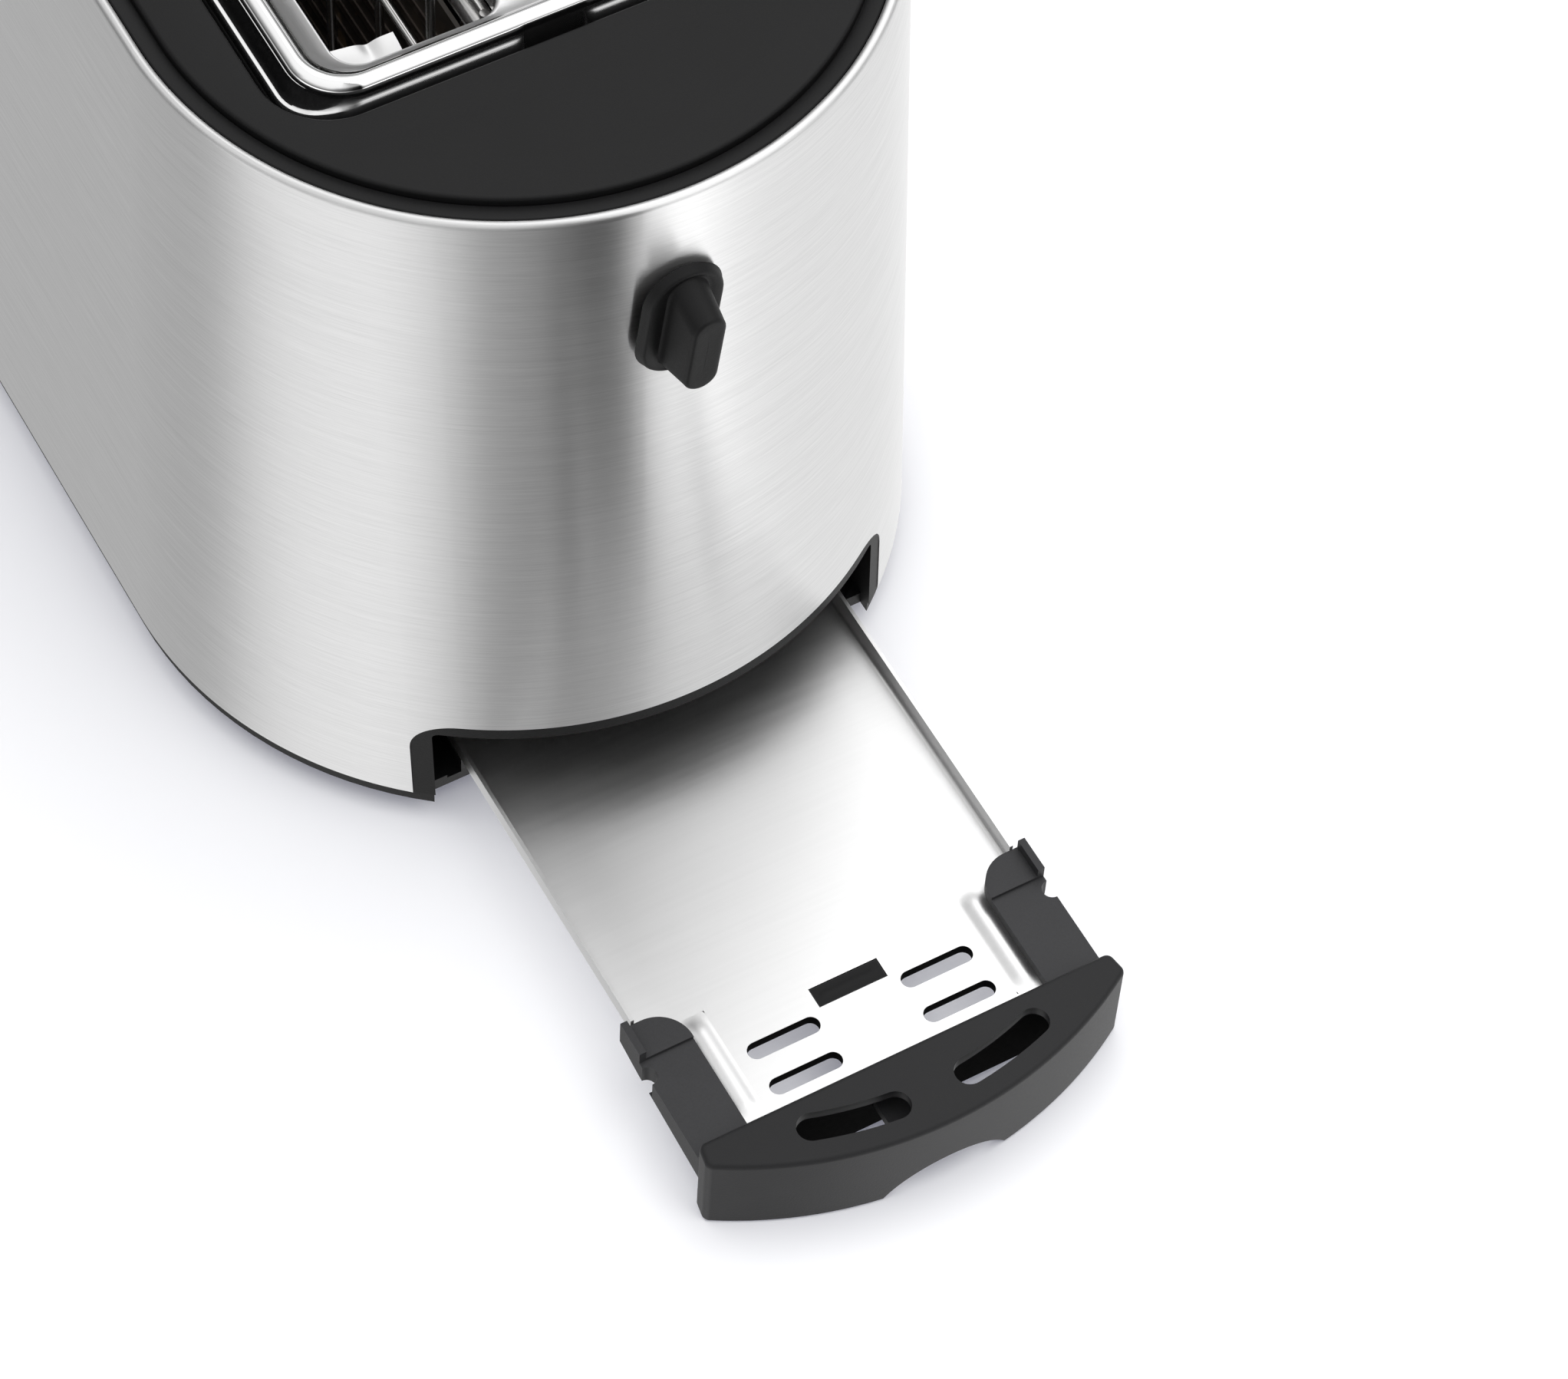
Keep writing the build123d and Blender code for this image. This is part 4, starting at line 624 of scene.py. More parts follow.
def ray_box(angle, half_x, half_y, corner):
    """Where rays from the middle meet a rectangle with round corners: on a side, or on the corner's circle."""
    c, s = np.maximum(np.abs(np.cos(angle)), 1e-9), np.maximum(np.abs(np.sin(angle)), 1e-9)
    px, py = half_x - corner, half_y - corner
    reach = np.minimum(half_x / c, half_y / s)
    inside = (reach * c > px) & (reach * s > py)
    arc = px * c + py * s + np.sqrt(np.clip(corner**2 - (px * s - py * c)**2, 0, None))
    reach = np.where(inside, arc, reach)
    return reach * np.cos(angle), reach * np.sin(angle)


def cover_piece(body, cover):
    """The cover: closed loops at the same ray angles, ovals on the outside and round-cornered boxes in the well,
    joined by the section outer skirt, ring, groove, plate edge, plate, well wall, ledge and underside."""
    # Rays go through the well's corners and, every 2 degrees, through an end arc that is 82 mm in radius
    corner, ends, end_arc = np.linspace(0, pi / 2, 15), np.radians(np.arange(0, 91, 2.0)), 82.0
    px, py = cover.well_half_length - cover.well_corner, cover.well_half_width - cover.well_corner
    angles = np.arctan2(py + cover.well_corner * np.sin(corner), px + cover.well_corner * np.cos(corner))
    oval = np.arctan2(end_arc * np.sin(ends), body.end_centre + end_arc * np.cos(ends))
    quarter = np.unique(np.round(np.concatenate([angles, oval, [0, pi / 2]]), 5))
    angle = np.concatenate([quarter, pi - quarter[::-1], pi + quarter, 2 * pi - quarter[::-1]])
    angle = np.unique(np.round(angle, 5))
    angle[-1] = angle[0] + 2 * pi
    turn = np.linspace(0, pi / 2, 6)
    top, ring, skirt = cover.plate_top, cover.ring_top, cover.ring_top - 3.5
    edge, outer_round, inner_round = cover.plate_set + 0.15, 0.8, 0.9
    outside = [(cover.ring_set, skirt), (cover.ring_set, ring - 0.25), (cover.ring_set + 0.25, ring),
               (edge - 0.5, ring), (edge - 0.35, ring - 0.12), (edge - 0.25, ring - 0.6), (edge, ring - 0.6)]
    outside += [(edge + outer_round * (1 - np.cos(t)), top - outer_round + outer_round * np.sin(t)) for t in turn]
    inside = [(inner_round - inner_round * np.sin(t), top - inner_round * (1 - np.cos(t))) for t in turn]
    inside += [(0.0, cover.ledge_top + 1.0), (-0.3, cover.ledge_top + 0.3), (-1.0, cover.ledge_top),
               (-cover.ledge_width, cover.ledge_top), (-cover.ledge_width, cover.ledge_bottom),
               (cover.well_wall - 0.4, cover.ledge_bottom), (cover.well_wall, cover.ledge_bottom + 0.4),
               (cover.well_wall, top - cover.thickness)]
    under = [(8.0, top - cover.thickness), (6.0, skirt), (cover.ring_set, skirt)]

    def oval_loop(inset, z):
        return spots(*ray_oval(angle, body.end_centre, wall_radius(body, z) - inset), z)

    def box_loop(grow, z):
        """A loop of the well; the ledge is half as wide at the short sides."""
        share = 0.5 if grow < -1.5 else 1.0
        return spots(*ray_box(angle, cover.well_half_length + grow * share, cover.well_half_width + grow,
                              cover.well_corner + grow), z)

    loops = [oval_loop(*spot) for spot in outside] + [box_loop(*spot) for spot in inside]
    return Skin().grid(loops + [oval_loop(*spot) for spot in under]).piece("cover_plate", crease=40)


def half_loop(half_x, half_y, corner, short):
    """Half a round-cornered box, from its +X side's middle over +Y to its -X side: straight, arc, straight, arc,
    straight. short holds the places of the points on the short sides."""
    px, py = half_x - corner, half_y - corner
    x = np.concatenate([np.full(len(short), half_x), px + corner * np.cos(QUARTER)])
    y = np.concatenate([short, py + corner * np.sin(QUARTER)])
    return np.concatenate([x, -x[::-1]]), np.concatenate([y, y[::-1]])


def frame_piece(f):
    """The warmer frame: half loops carried through the section skirt, bead and hollow slope, a floor between the
    slope's foot and each slot, slot walls with rolled edges, and an underside. The skirt's section goes from the
    short side's to the long side's round each corner, and draws in to the bead at the break."""
    margin, break_round, bridge, under_set = 0.4, 2.6, 9, 3.1
    bead_row, side_column, corner_run, edge_roll, bridge_roll = 20, 30, 8, 0.38, 0.9
    reach_x = f.half_length - f.slot_half_length - margin
    reach_y = f.half_width - f.slot_outer - margin
    crest, under, px = f.top - f.bead, f.foot + 0.7, f.slot_half_length - f.slot_corner
    drop = f.top - 201.0
    # Rows of inset and height at the short sides, then at the long sides, drawn for a crest at 201
    skirt = np.array([(0.6, 184.6, 0.6, 184.6), (0.1, 189.0, -1.4, 188.5), (0.0, 191.6, -1.5, 191.2),
                      (0.05, 193.2, -1.35, 192.2), (0.2, 194.6, -1.0, 192.75), (0.5, 195.7, -0.6, 192.9),
                      (0.85, 196.3, -0.15, 192.8), (1.15, 196.65, 0.2, 193.2), (1.38, 196.95, 0.6, 194.4),
                      (1.5, 197.35, 1.15, 196.3), (1.475, 197.9, 1.65, 197.9)]) + [0, drop, 0, drop]
    turn = np.radians(np.linspace(-15, 124, 21))
    rise = crest + f.bead * np.sin(turn)
    bead = spots(f.end_set - f.bead * np.cos(turn), rise, f.side_set - f.bead * np.cos(turn), rise)
    share = [0.0, 0.15, 0.32, 0.5, 0.69, 0.86, 1.0]
    fall = [0.0, 0.13, 0.35, 0.57, 0.77, 0.91, 1.0]
    slope = bead[-1] + (np.array([reach_x, f.floor, reach_y, f.floor]) - bead[-1]) * spots(share, fall, share, fall)
    section = np.concatenate([skirt, bead, flowing(slope, 19)[1:]])
    # How far each row is brushed; on the skirt, below 0, only away from the corners
    tag = np.concatenate([np.full(len(skirt), -0.55), np.zeros(len(bead)), ease(np.linspace(0, 3, 18))])[:, None]

    def rounding(inset):
        """The corners' radius at an inset."""
        return np.interp(inset, [0, 5, 9.5, reach_x], [f.corner, 9.6, 8.8, f.slot_corner + margin])

    def columns(gap):
        """Places of the columns along a short side, close together at the rounded end of the skirt."""
        last = f.slot_inner + f.slot_corner
        ends = gap + np.array([-0.05, 0.0, 0.15, 0.5, 1.1, 1.8, break_round])
        spare = gap / 2 if gap > 6 else (ends[-1] + last) / 2
        return np.sort([0.0, *ends, spare, last])

    def loop(row, gap):
        """One half loop of the section's row: insets and heights at the short and at the long sides."""
        short, bend = columns(gap), ease(np.linspace(0, 1, len(QUARTER)))
        clear = np.sqrt(1 - (1 - np.clip((short - gap) / break_round, 0, 1))**2)
        draw = max(f.end_set - f.bead + 0.2 - row[0], 0) * (1 - clear)
        draw = np.concatenate([draw, 0 * bend, 0 * bend, draw[::-1]])
        side = np.concatenate([0 * short, bend, bend[::-1], 0 * short])
        x, y = half_loop(f.half_length - row[0], f.half_width - row[2], rounding(row[0]), short)
        return spots(x - np.sign(x) * draw, y, row[1] + (row[3] - row[1]) * side)

    def flat(inset, z, gap):
        """A level half loop."""
        return loop((inset, z, inset * reach_y / reach_x, z), gap)

    def slot_loop(spread):
        """A bread slot's outline grown by spread, from the bridge's corner round by the far side. Its edge is rolled
        as a quarter circle, wider along the bridge."""
        small = np.linspace(0, pi / 2, 4 + len(columns(0)))
        low, high = f.slot_inner + f.slot_corner, f.slot_outer - f.slot_corner
        x, y = np.concatenate([spots(cx + f.slot_corner * np.cos(turn), cy + f.slot_corner * np.sin(turn))
                               for cx, cy, turn in ((px, low, small - pi / 2), (px, high, QUARTER),
                                                    (-px, high, QUARTER + pi / 2), (-px, low, small + pi))]).T
        x, y = np.append(x, x[0]), np.append(y, y[0])
        roll = edge_roll + bridge_roll * ease((f.slot_inner + bridge - y) / bridge)
        cx, cy = np.clip(x, -px, px), np.clip(y, low, high)
        length = np.maximum(np.hypot(x - cx, y - cy), 1e-9)
        return spots(x + (x - cx) / length * spread * roll, y + (y - cy) / length * spread * roll,
                     f.floor - roll * (1 - np.sqrt(1 - (1 - spread)**2)))

    def outline(inset, z, gap):
        """The half loop closed along the middle line, point for point with the slot's outline."""
        half = flat(inset, z, gap)
        near = spots(np.linspace(px, half[0, 0], 5)[:-1], 0, z)
        return np.concatenate([near, half, near[::-1] * [-1, 1, 1], near[:1]])

    slot = [slot_loop(spread) for spread in 1 - np.sin(np.linspace(0, pi / 2, 7))]
    deep = slot_loop(0.0)
    deep[:, 2] = under
    skin = Skin()
    for side, gap in ((1, f.break_right), (-1, f.break_left)):
        mirror = np.array([1, side, 1])
        walls = np.array([loop(row, gap) for row in section])
        brushed = np.where(tag < 0, -tag * (np.abs(walls[..., 1]) < f.half_width - corner_run), tag)
        around, climb = walked(walls[bead_row, :, :2]), walked(walls[:, side_column])
        skin.grid(walls * mirror, None, spots(around, climb[:, None]), brushed)
        inside = np.array([outline(reach_x, f.floor, gap), *slot, deep, outline(under_set, under, gap)])
        inner_tag = np.concatenate([[1.0, 1.0], np.linspace(0.8, 0.4, len(inside) - 2)])[:, None]
        skin.grid(inside * mirror, None, spots(walked(inside[0]), walked(inside)), inner_tag)
        skin.grid(np.array([flat(under_set, under, gap), walls[0]]) * mirror)
    return skin.piece("warmer_frame_shell", crease=42)


def oblong(half_width, half_height, steps=24):
    """A slot outline: two half circles joined by straight lines, starting at the right."""
    half_turn = np.linspace(0, pi, steps)
    rise = half_height - half_width
    y = np.concatenate([half_width * np.cos(half_turn), -half_width * np.cos(half_turn)])
    z = np.concatenate([rise + half_width * np.sin(half_turn), -rise - half_width * np.sin(half_turn)])
    return np.append(y, y[0]), np.append(z, z[0])


def knob_piece(k, back, lean):
    """The turn knob: oblong loops set out along X, from the back over the skirt's round edge, the shallow dish,
    the grip's foot, its tapering sides and its tip, turned by the lean about the knob's axis."""
    skirt_w, skirt_h, front = k.skirt_width / 2, k.skirt_height / 2, k.skirt_depth
    foot, end, edge_deep, edge_wide, tip_round = front + 0.5, front + k.grip_depth, 1.1, 0.9, 0.9
    grip_w, grip_h, tip_w, tip_h = k.grip_width / 2, k.grip_height / 2, k.tip_width / 2, k.tip_height / 2
    loops = [(0.2, skirt_w - 0.6, skirt_h - 0.6), (0.0, skirt_w - 0.25, skirt_h - 0.25), (0.25, skirt_w, skirt_h),
             (front - 1.2, skirt_w - 0.4, skirt_h - 0.4)]
    for t in np.linspace(0, pi / 2, 7)[1:]:
        shrink = 0.45 + edge_wide * (1 - np.cos(t))
        loops.append((front - edge_deep + edge_deep * np.sin(t), skirt_w - shrink, skirt_h - shrink))
    loops += [(front - 0.15, grip_w + 1.3, grip_h + 1.0), (front - 0.32, grip_w + 0.6, grip_h + 0.55),
              (front - 0.28, grip_w + 0.22, grip_h + 0.22), (front + 0.05, grip_w + 0.05, grip_h + 0.05),
              (foot, grip_w - 0.1, grip_h - 0.1)]
    loops += [(foot + (end - foot) * t, grip_w + (tip_w - grip_w) * t, grip_h + (tip_h - grip_h) * t)
              for t in np.linspace(0.08, 0.88, 7)]
    for t in np.linspace(0, pi / 2, 6)[1:]:
        shrink = tip_round * (1 - np.cos(t))
        loops.append((end - tip_round + tip_round * np.sin(t), tip_w + 0.08 - shrink, tip_h + 0.3 - shrink))
    loops += [(end - 0.03, tip_w * 0.6, tip_h * 0.75), (end - 0.06, 0.02, 4.0)]
    out, y, z = np.moveaxis([spots(back + out, *oblong(wide, tall)) for out, wide, tall in loops], -1, 0)
    turned = spots(out, k.y + y * np.cos(lean) + z * np.sin(lean), k.z - y * np.sin(lean) + z * np.cos(lean))
    turn = np.linspace(0, 2 * pi, y.shape[1])
    hub = [spots(back + 0.2, k.y + r * np.cos(turn), k.z + r * np.sin(turn)) for r in (0.01, 3.2)]
    return Skin().grid([*hub, *turned]).piece("knob_moulding", crease=32)


def tray_slot(t, row, way, z, spread=0.0, steps=16):
    """The outline of one of the tray's slots, grown by spread, at a height."""
    across, along = oblong(t.slot_width / 2 + spread, (t.slot_outer - t.slot_inner) / 2 + spread, steps)
    return spots(row + across, way * (t.slot_inner + t.slot_outer) / 2 + along, z)


def tray_piece(t):
    """The tray: a floor grid whose cells leave out the clip hole and the slots, fans from each slot's outline to its
    cell's corners, and lips turned up through a quarter circle at both sides and at the tail."""
    z, bend = t.floor - t.sheet / 2, 1.4
    edge = t.half_width - t.sheet / 2 - bend
    cell_inner, cell_outer = t.slot_inner - 1, t.slot_outer + 1
    x = np.array([t.tail + bend, 60, 110, 150, 180, t.lip_end, CLIP_PLACE - CLIP_LONG, CLIP_PLACE + CLIP_LONG,
                  *(row + way * SLOT_CELL for row in SLOT_ROWS[::-1] for way in (-1, 1)), t.front])
    side = np.array([CLIP_WIDE, cell_inner, cell_outer, 36.0, edge])
    y = np.sort(both_ways(side))
    mid_x, mid_y = midway(x), np.abs(midway(y))
    keep = np.ones((len(mid_x), len(mid_y)), bool)
    keep[np.ix_(np.abs(mid_x - CLIP_PLACE) < CLIP_LONG, mid_y < CLIP_WIDE)] = False
    for row in SLOT_ROWS:
        keep[np.ix_(np.abs(mid_x - row) < SLOT_CELL, (mid_y > cell_inner) & (mid_y < cell_outer))] = False
    skin = Skin().grid(spots(x[:, None], y, z), keep, flip=True)
    corners = np.repeat([[1, 1], [-1, 1], [-1, -1], [1, -1], [1, 1]], [8, 8, 8, 8, 1], axis=0)
    cell = corners * [SLOT_CELL, (cell_outer - cell_inner) / 2]
    for row, way in SLOTS:
        middle = way * (t.slot_inner + t.slot_outer) / 2
        skin.grid([tray_slot(t, row, way, z), spots(row + cell[:, 0], middle + cell[:, 1], z)], flip=True)
    curve = np.linspace(0, pi / 2, 7)
    rise = np.append(z + bend * (1 - np.cos(curve)), t.floor + t.lip)
    out = np.append(bend * np.sin(curve), bend)
    lip = spots(x[x <= t.lip_end][:, None], edge + out, rise)
    skin.grid(lip, flip=True).grid(lip * [1, -1, 1])
    skin.grid(spots((t.tail + bend - out)[:, None], y, rise[:, None]))
    return thicken(skin.piece("tray_plate", closed=False, crease=40), t.sheet, 0.0)


def rib_piece(t):
    """Two pressed ribs: pillows whose height is (1 - v^2)^2 across, under an eased rise at both ends."""
    start, run, sunk = 208.5, 27.5, 0.3
    u, v = np.linspace(0, 1, 41)[:, None], np.linspace(-1, 1, 21)
    height = t.rib_height * (1 - v**2)**2 * ease(u / 0.16) * ease((1 - u) / 0.12)
    skin = Skin()
    for way in (-1, 1):
        x, y = start + run * u, way * (t.rib_y + t.rib_width / 2 * v)
        skin.grid(spots(x, y, t.floor + height), flip=way < 0).grid(spots(x, y, t.floor - sunk), flip=way > 0)
    return skin.piece("tray_ribs", closed=False, crease=60)


def shade_collar_piece(t):
    """Near-black collars under the tray's slots, painted shade for the shadow under the tray seen through them: a
    stepped section carried round each slot's outline.
    """
    high, under, low = t.floor - 0.12, t.floor - t.sheet - 0.02, t.floor - 2.6
    inner, step, outer = -0.06, 0.3, 1.1
    section = ((inner, high), (inner, low), (outer, low), (outer, under), (step, under), (step, high), (inner, high))
    skin = Skin()
    for row, way in SLOTS:
        skin.grid([tray_slot(t, row, way, z, spread, 12) for spread, z in section])
    return skin.piece("slot_collars", crease=40)


def clip_piece(t):
    """The clip seen in the tray's hole: a thin plate with a bar along it that rises as a cosine. It lies just under
    the sheet, and its black stands for the clip's plastic and also, as painted shade, for the dark depth of the
    hole.
    """
    play, high, low = 0.3, t.floor - 0.15, t.floor - 0.3
    u, v = np.linspace(-1, 1, 41)[:, None], np.linspace(-1, 1, 31)
    bar = 0.12 * (0.5 + 0.5 * np.cos(pi * np.clip(v / 0.6, -1, 1))) * ease((0.86 - np.abs(u)) / 0.06)
    x, y = CLIP_PLACE + (CLIP_LONG - play) * v, (CLIP_WIDE - play) * u
    skin = Skin().grid(spots(x, y, high + bar), flip=True).grid(spots(x, y, low))
    return skin.piece("tray_clip", closed=False, crease=60)


def tab_piece(box):
    """Two bright tabs: a sheet carried along a path out of the end plate and up into the slot, level on the inner
    half and climbing on the outer half, with a crease between that grows to the free edge."""
    inner, width, fold, thickness = 29.5, 14.2, 0.42, 0.6
    low, high = (np.array(corner) / MM for corner in box)
    path = flowing([(high[0], 175.6), (86.0, 178.2), (80.6, 179.8), (77.6, 181.6), (75.4, 183.4), (73.0, 184.4),
                    (low[0], 185.0)], 31)
    u, v = np.linspace(0, 1, 31)[:, None], np.linspace(0, 1, 33)
    lift = (2.6 * np.clip(v - fold, 0, 1) - 0.7 * np.exp(-((v - fold) / 0.12)**2)) * ease((u - 0.55) / 0.45)
    skin = Skin()
    for way in (-1, 1):
        skin.grid(spots(path[:, :1], way * (inner + width * v), path[:, 1:] + lift), flip=way > 0)
    return thicken(skin.piece("slot_tabs", closed=False, crease=60), thickness, 0.0)


def shade_lining_piece():
    """The handle's inner wall, made near-black as painted shade for the dark inside of the handle that the vents
    show:
    a straight section down in front of the sheet's edge, carried across the handle.
    """
    place, high, low, half_width, thickness = 243.35, 20.8, 3.2, 45.5, 0.5
    sheet = spots(place, np.linspace(-half_width, half_width, 9), np.linspace(high, low, 9)[:, None])
    return thicken(Skin().grid(sheet, flip=True).piece("handle_lining", closed=False), thickness, 0.0)


def place_camera(scene):
    """The camera, from the scene's directions that are right, down and ahead in its picture."""
    camera = bpy.data.objects.new("camera", bpy.data.cameras.new("camera"))
    camera.data.sensor_width, camera.data.lens = 36.0, 126.29
    right, down, ahead = (0.48885, 0.87144, 0.04016), (0.7355, -0.38697, -0.55614), (-0.46911, 0.30141, -0.83012)
    spot = (0.70971, -0.33803, 1.01307)
    camera.matrix_world = Matrix([[right[i], -down[i], -ahead[i], spot[i]] for i in range(3)] + [[0, 0, 0, 1]])
    scene.collection.objects.link(camera)
    scene.camera = camera


def light_dome(scene, sky):
    """The dome: low down its tone follows the compass, as panels round a table do, and above it brightens with
    height, where the panels below are bright or it is high up, and bank by bank. The camera sees plain white."""
    world = bpy.data.worlds.new("studio")
    world.use_nodes = True
    scene.world = world
    tree = world.node_tree
    tree.nodes.clear()
    node = partial(Wire.add, tree)
    x = node("ShaderNodeSeparateXYZ", None, {0: node("ShaderNodeTexCoord", None, None, "Generated")})
    y, z = x.twin("Y"), x.twin("Z")
    compass = node("ShaderNodeMath", {"operation": "ARCTAN2"}, {0: y, 1: x}) * (0.5 / pi) + 0.5

    def ramp(factor, most, stops):
        return node("ShaderNodeValToRGB", {"stops": [(place, tone / most) for place, tone in stops]},
                    {0: factor}, "Color")

    def turned(most, tones):
        """Tones over the compass's degrees, as shares of the most."""
        return ramp(compass, most, [(angle / 360 + 0.5, tone) for angle, tone in tones])

    def climbing(low, high):
        """A smooth step over the dome's height."""
        return node("ShaderNodeMapRange", {"interpolation_type": "SMOOTHSTEP"},
                    {0: z, 1: low, 2: high, 3: 0.0, 4: 1.0})

    brightest, strongest = 1.95, 1.7
    panels = turned(brightest, [(-180, 0.90), (-152, 0.65), (-105, 0.60), (-92, 1.21), (-80, 1.30), (-57, 1.30),
                                (-45, 1.0), (-33, 0.54), (-20, 0.38), (-8, 0.10), (4, 0.02), (10, 1.85), (20, 1.95),
                                (30, 1.5), (40, 1.27), (52, 1.2), (111, 1.2), (140, 1.4), (180, 0.90)])
    banks = turned(strongest, [(-180, 1.0), (-30, 1.0), (-10, 0.5), (5, 0.4), (11, 1.7), (45, 1.6), (80, 1.0),
                               (180, 1.0)])
    rise = ramp(z, brightest, [(0.0, 0.20), (0.22, 0.20), (0.65, 0.98), (1.0, 1.08)])
    gate = node("ShaderNodeMath", {"operation": "MINIMUM"}, {0: panels * brightest, 1: 1.0})
    clear = climbing(0.50, 0.80)
    upper = rise * (gate + clear - gate * clear) * (banks * strongest)
    dome = node("ShaderNodeMix", {"data_type": "RGBA"}, {0: climbing(0.02, 0.10), 6: panels, 7: upper}, 2)
    glow = node("ShaderNodeBackground", None, {"Color": dome, "Strength": brightest * sky})
    plain = node("ShaderNodeBackground", None, {"Color": (1, 1, 1, 1), "Strength": 1.0})
    sight = node("ShaderNodeLightPath", None, None, "Is Camera Ray")
    view = node("ShaderNodeMixShader", None, {0: sight, 1: glow, 2: plain})
    node("ShaderNodeOutputWorld", None, {"Surface": view})


def hang_lamps(scene, looks):
    """A softbox behind the body, and a large lamp overhead that polished metal doesn't show."""
    for name, wide, deep, power, spot, goal in (
            ("softbox", 1.3, 1.1, looks.key, (-0.35, 0.70, 1.35), (0.15, 0.0, 0.1)),
            ("overhead", 2.2, 2.2, looks.fill, (0.10, -0.10, 2.1), (0.10, -0.05, 0.0))):
        lamp = bpy.data.lights.new(name, "AREA")
        lamp.shape = "RECTANGLE"
        lamp.size, lamp.size_y, lamp.energy = wide, deep, power
        holder = bpy.data.objects.new(name, lamp)
        turn = (Vector(goal) - Vector(spot)).to_track_quat("-Z", "Y").to_matrix().to_4x4()
        holder.matrix_world = Matrix.Translation(spot) @ turn
        holder.visible_glossy = name == "softbox"
        scene.collection.objects.link(holder)


def lay_floor(tone):
    """A pale level floor that keeps the shadow, lifted a little towards white where it is seen."""
    seen_share, mirrored_share, cool = 0.15, 0.02, (0.72, 0.74, 1.0, 1)
    rows = np.linspace(-4, 4, 9) / MM
    floor = Skin().grid(spots(rows[:, None], rows, 0.0), flip=True).piece("floor", closed=False)
    material = bpy.data.materials.new("pale_floor")
    material.use_nodes = True
    tree = material.node_tree
    tree.nodes.clear()
    node = partial(Wire.add, tree)
    seen = node("ShaderNodeLightPath", None, None, "Is Camera Ray")
    mirrored = seen.twin("Is Glossy Ray") + seen.twin("Is Transmission Ray")
    share = seen * seen_share + mirrored * mirrored_share
    matte = node("ShaderNodeBsdfDiffuse", None, {"Color": (tone, tone, tone * 0.985, 1)})
    lift = node("ShaderNodeEmission", None, {"Color": cool, "Strength": share})
    both = node("ShaderNodeAddShader", None, {0: matte, 1: lift})
    node("ShaderNodeOutputMaterial", None, {"Surface": both})
    floor.data.materials.append(material)
    floor.visible_glossy = False


class TOASTER_OT_finishes(bpy.types.Operator):
    """Makes the finishes and puts them on the carried-over parts"""
    bl_idname = "toaster.finishes"
    bl_label = "Finishes"

    def execute(self, context):
        make_finishes(context.scene.toaster_looks)
        for name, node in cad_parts.items():
            for holder in node.material_slots:
                slot = holder.material.name.split(".")[0]
                holder.material = finishes["control_grey" if name in CONTROLS else slot]
        return {"FINISHED"}


class TOASTER_OT_shell(bpy.types.Operator):
    """Makes the brushed wall with its rolled rim"""
    bl_idname = "toaster.shell"
    bl_label = "Wall"

    def execute(self, context):
        obj = shell_piece(in_mm(context.scene.toaster_body), in_mm(context.scene.toaster_knob))
        settle(obj, "outer_shell", "body", "wall")
        return {"FINISHED"}


class TOASTER_OT_cover(bpy.types.Operator):
    """Makes the black cover with its ring and well"""
    bl_idname = "toaster.cover"
    bl_label = "Cover"

    def execute(self, context):
        obj = cover_piece(in_mm(context.scene.toaster_body), in_mm(context.scene.toaster_cover))
        settle(obj, "top_cover", "body", "black_plastic")
        return {"FINISHED"}


class TOASTER_OT_frame(bpy.types.Operator):
    """Makes the polished roll-warmer frame"""
    bl_idname = "toaster.frame"
    bl_label = "Warmer frame"

    def execute(self, context):
        obj = frame_piece(in_mm(context.scene.toaster_frame))
        settle(obj, "warmer_frame", "roll_warmer", "chrome")
        return {"FINISHED"}


class TOASTER_OT_knob(bpy.types.Operator):
    """Makes the turn knob"""
    bl_idname = "toaster.knob"
    bl_label = "Turn knob"

    def execute(self, context):
        back = float(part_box("turn_knob")[0][0]) / MM - KNOB_SET
        obj = knob_piece(in_mm(context.scene.toaster_knob), back, KNOB_LEAN)
        settle(obj, "turn_knob", "turning_knob", "black_plastic")
        return {"FINISHED"}


class TOASTER_OT_tray(bpy.types.Operator):
    """Makes the crumb tray's sheet with its ribs and clip, and the near-black slot collars and handle's inner wall
    that paint the shade under the tray and inside the handle
    """
    bl_idname = "toaster.tray"
    bl_label = "Crumb tray"

    def execute(self, context):
        sizes = in_mm(context.scene.toaster_tray)
        settle(tray_piece(sizes), "tray_sheet", "crumb_tray", "tray_steel")
        settle(rib_piece(sizes), None, "crumb_tray", "tray_steel")
        settle(shade_lining_piece(), None, "crumb_tray", "deep_black")
        settle(shade_collar_piece(sizes), None, "crumb_tray", "deep_black")
        settle(clip_piece(sizes), None, "crumb_tray", "black_plastic")
        return {"FINISHED"}


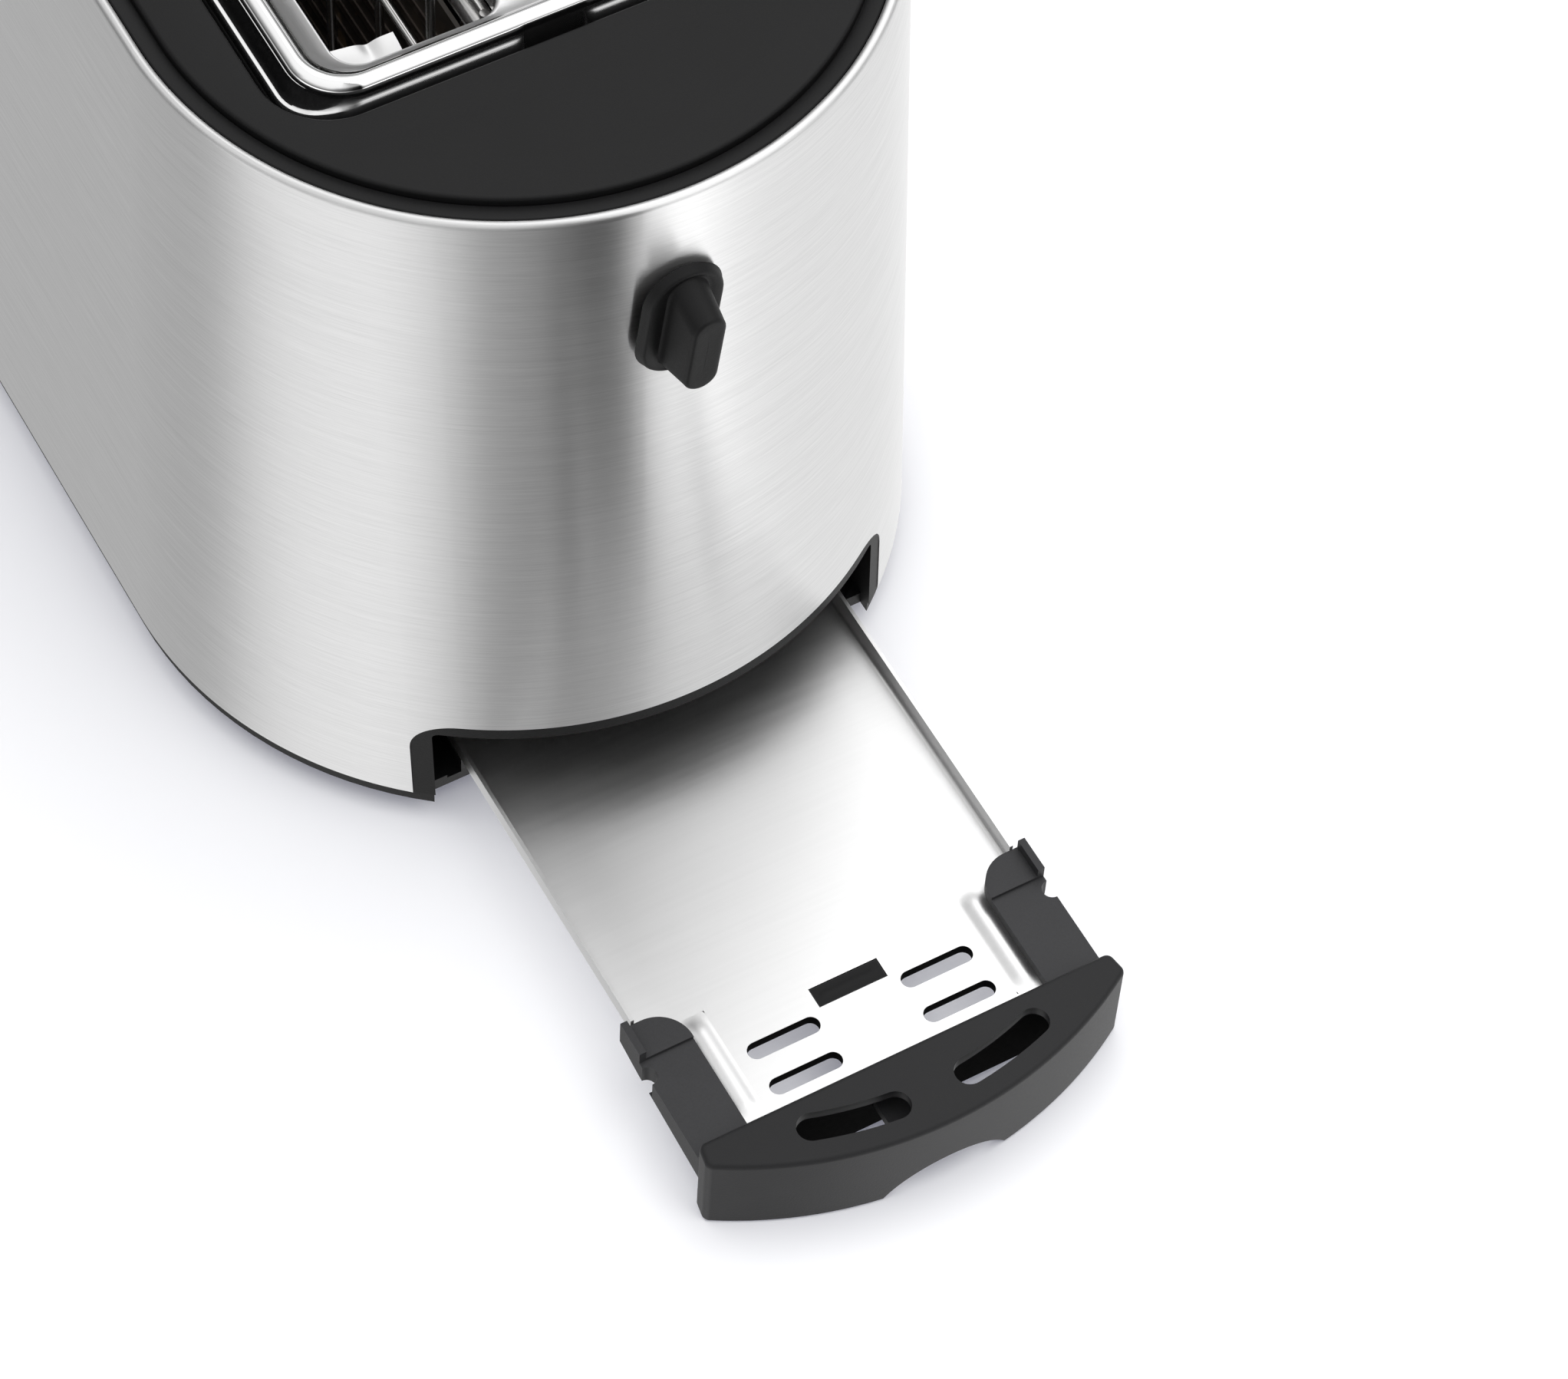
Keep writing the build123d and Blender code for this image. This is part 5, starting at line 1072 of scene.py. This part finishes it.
class TOASTER_OT_tabs(bpy.types.Operator):
    """Makes the bright tabs at the slots' ends"""
    bl_idname = "toaster.tabs"
    bl_label = "Slot tabs"

    def execute(self, context):
        settle(tab_piece(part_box("slice_tabs")), "slice_tabs", "body", "bright_sheet")
        return {"FINISHED"}


class TOASTER_OT_stage(bpy.types.Operator):
    """Sets up the floor, the light and the camera"""
    bl_idname = "toaster.stage"
    bl_label = "Stage"

    def execute(self, context):
        scene, looks = context.scene, context.scene.toaster_looks
        scene.view_settings.view_transform = "Standard"
        place_camera(scene)
        light_dome(scene, looks.sky)
        hang_lamps(scene, looks)
        lay_floor(looks.floor)
        return {"FINISHED"}


GROUPS = {"toaster_body": ToasterBody, "toaster_cover": ToasterCover, "toaster_frame": ToasterFrame,
          "toaster_knob": ToasterKnob, "toaster_tray": ToasterTray, "toaster_looks": ToasterLooks}
OPERATORS = (TOASTER_OT_finishes, TOASTER_OT_shell, TOASTER_OT_cover, TOASTER_OT_frame, TOASTER_OT_knob,
             TOASTER_OT_tray, TOASTER_OT_tabs, TOASTER_OT_stage)


class TOASTER_PT_sidebar(bpy.types.Panel):
    """Lists the toaster's pieces and sizes"""
    bl_idname = "TOASTER_PT_sidebar"
    bl_label = "Toaster"
    bl_space_type = "VIEW_3D"
    bl_region_type = "UI"
    bl_category = "Toaster"

    def draw(self, context):
        for operator in OPERATORS:
            self.layout.operator(operator.bl_idname)
        for name, group in GROUPS.items():
            box = self.layout.box()
            for value in group.__annotations__:
                box.prop(getattr(context.scene, name), value)


def register():
    for group in (*GROUPS.values(), *OPERATORS, TOASTER_PT_sidebar):
        bpy.utils.register_class(group)
    for name, group in GROUPS.items():
        setattr(bpy.types.Scene, name, PointerProperty(type=group))


def unregister():
    for name in GROUPS:
        delattr(bpy.types.Scene, name)
    for group in (TOASTER_PT_sidebar, *reversed(OPERATORS), *GROUPS.values()):
        bpy.utils.unregister_class(group)


def main():
    register()
    bpy.ops.toaster.finishes()
    bpy.ops.toaster.shell()
    bpy.ops.toaster.cover()
    bpy.ops.toaster.frame()
    bpy.ops.toaster.knob()
    bpy.ops.toaster.tray()
    bpy.ops.toaster.tabs()
    bpy.ops.toaster.stage()


if __name__ == "__main__":
    main()
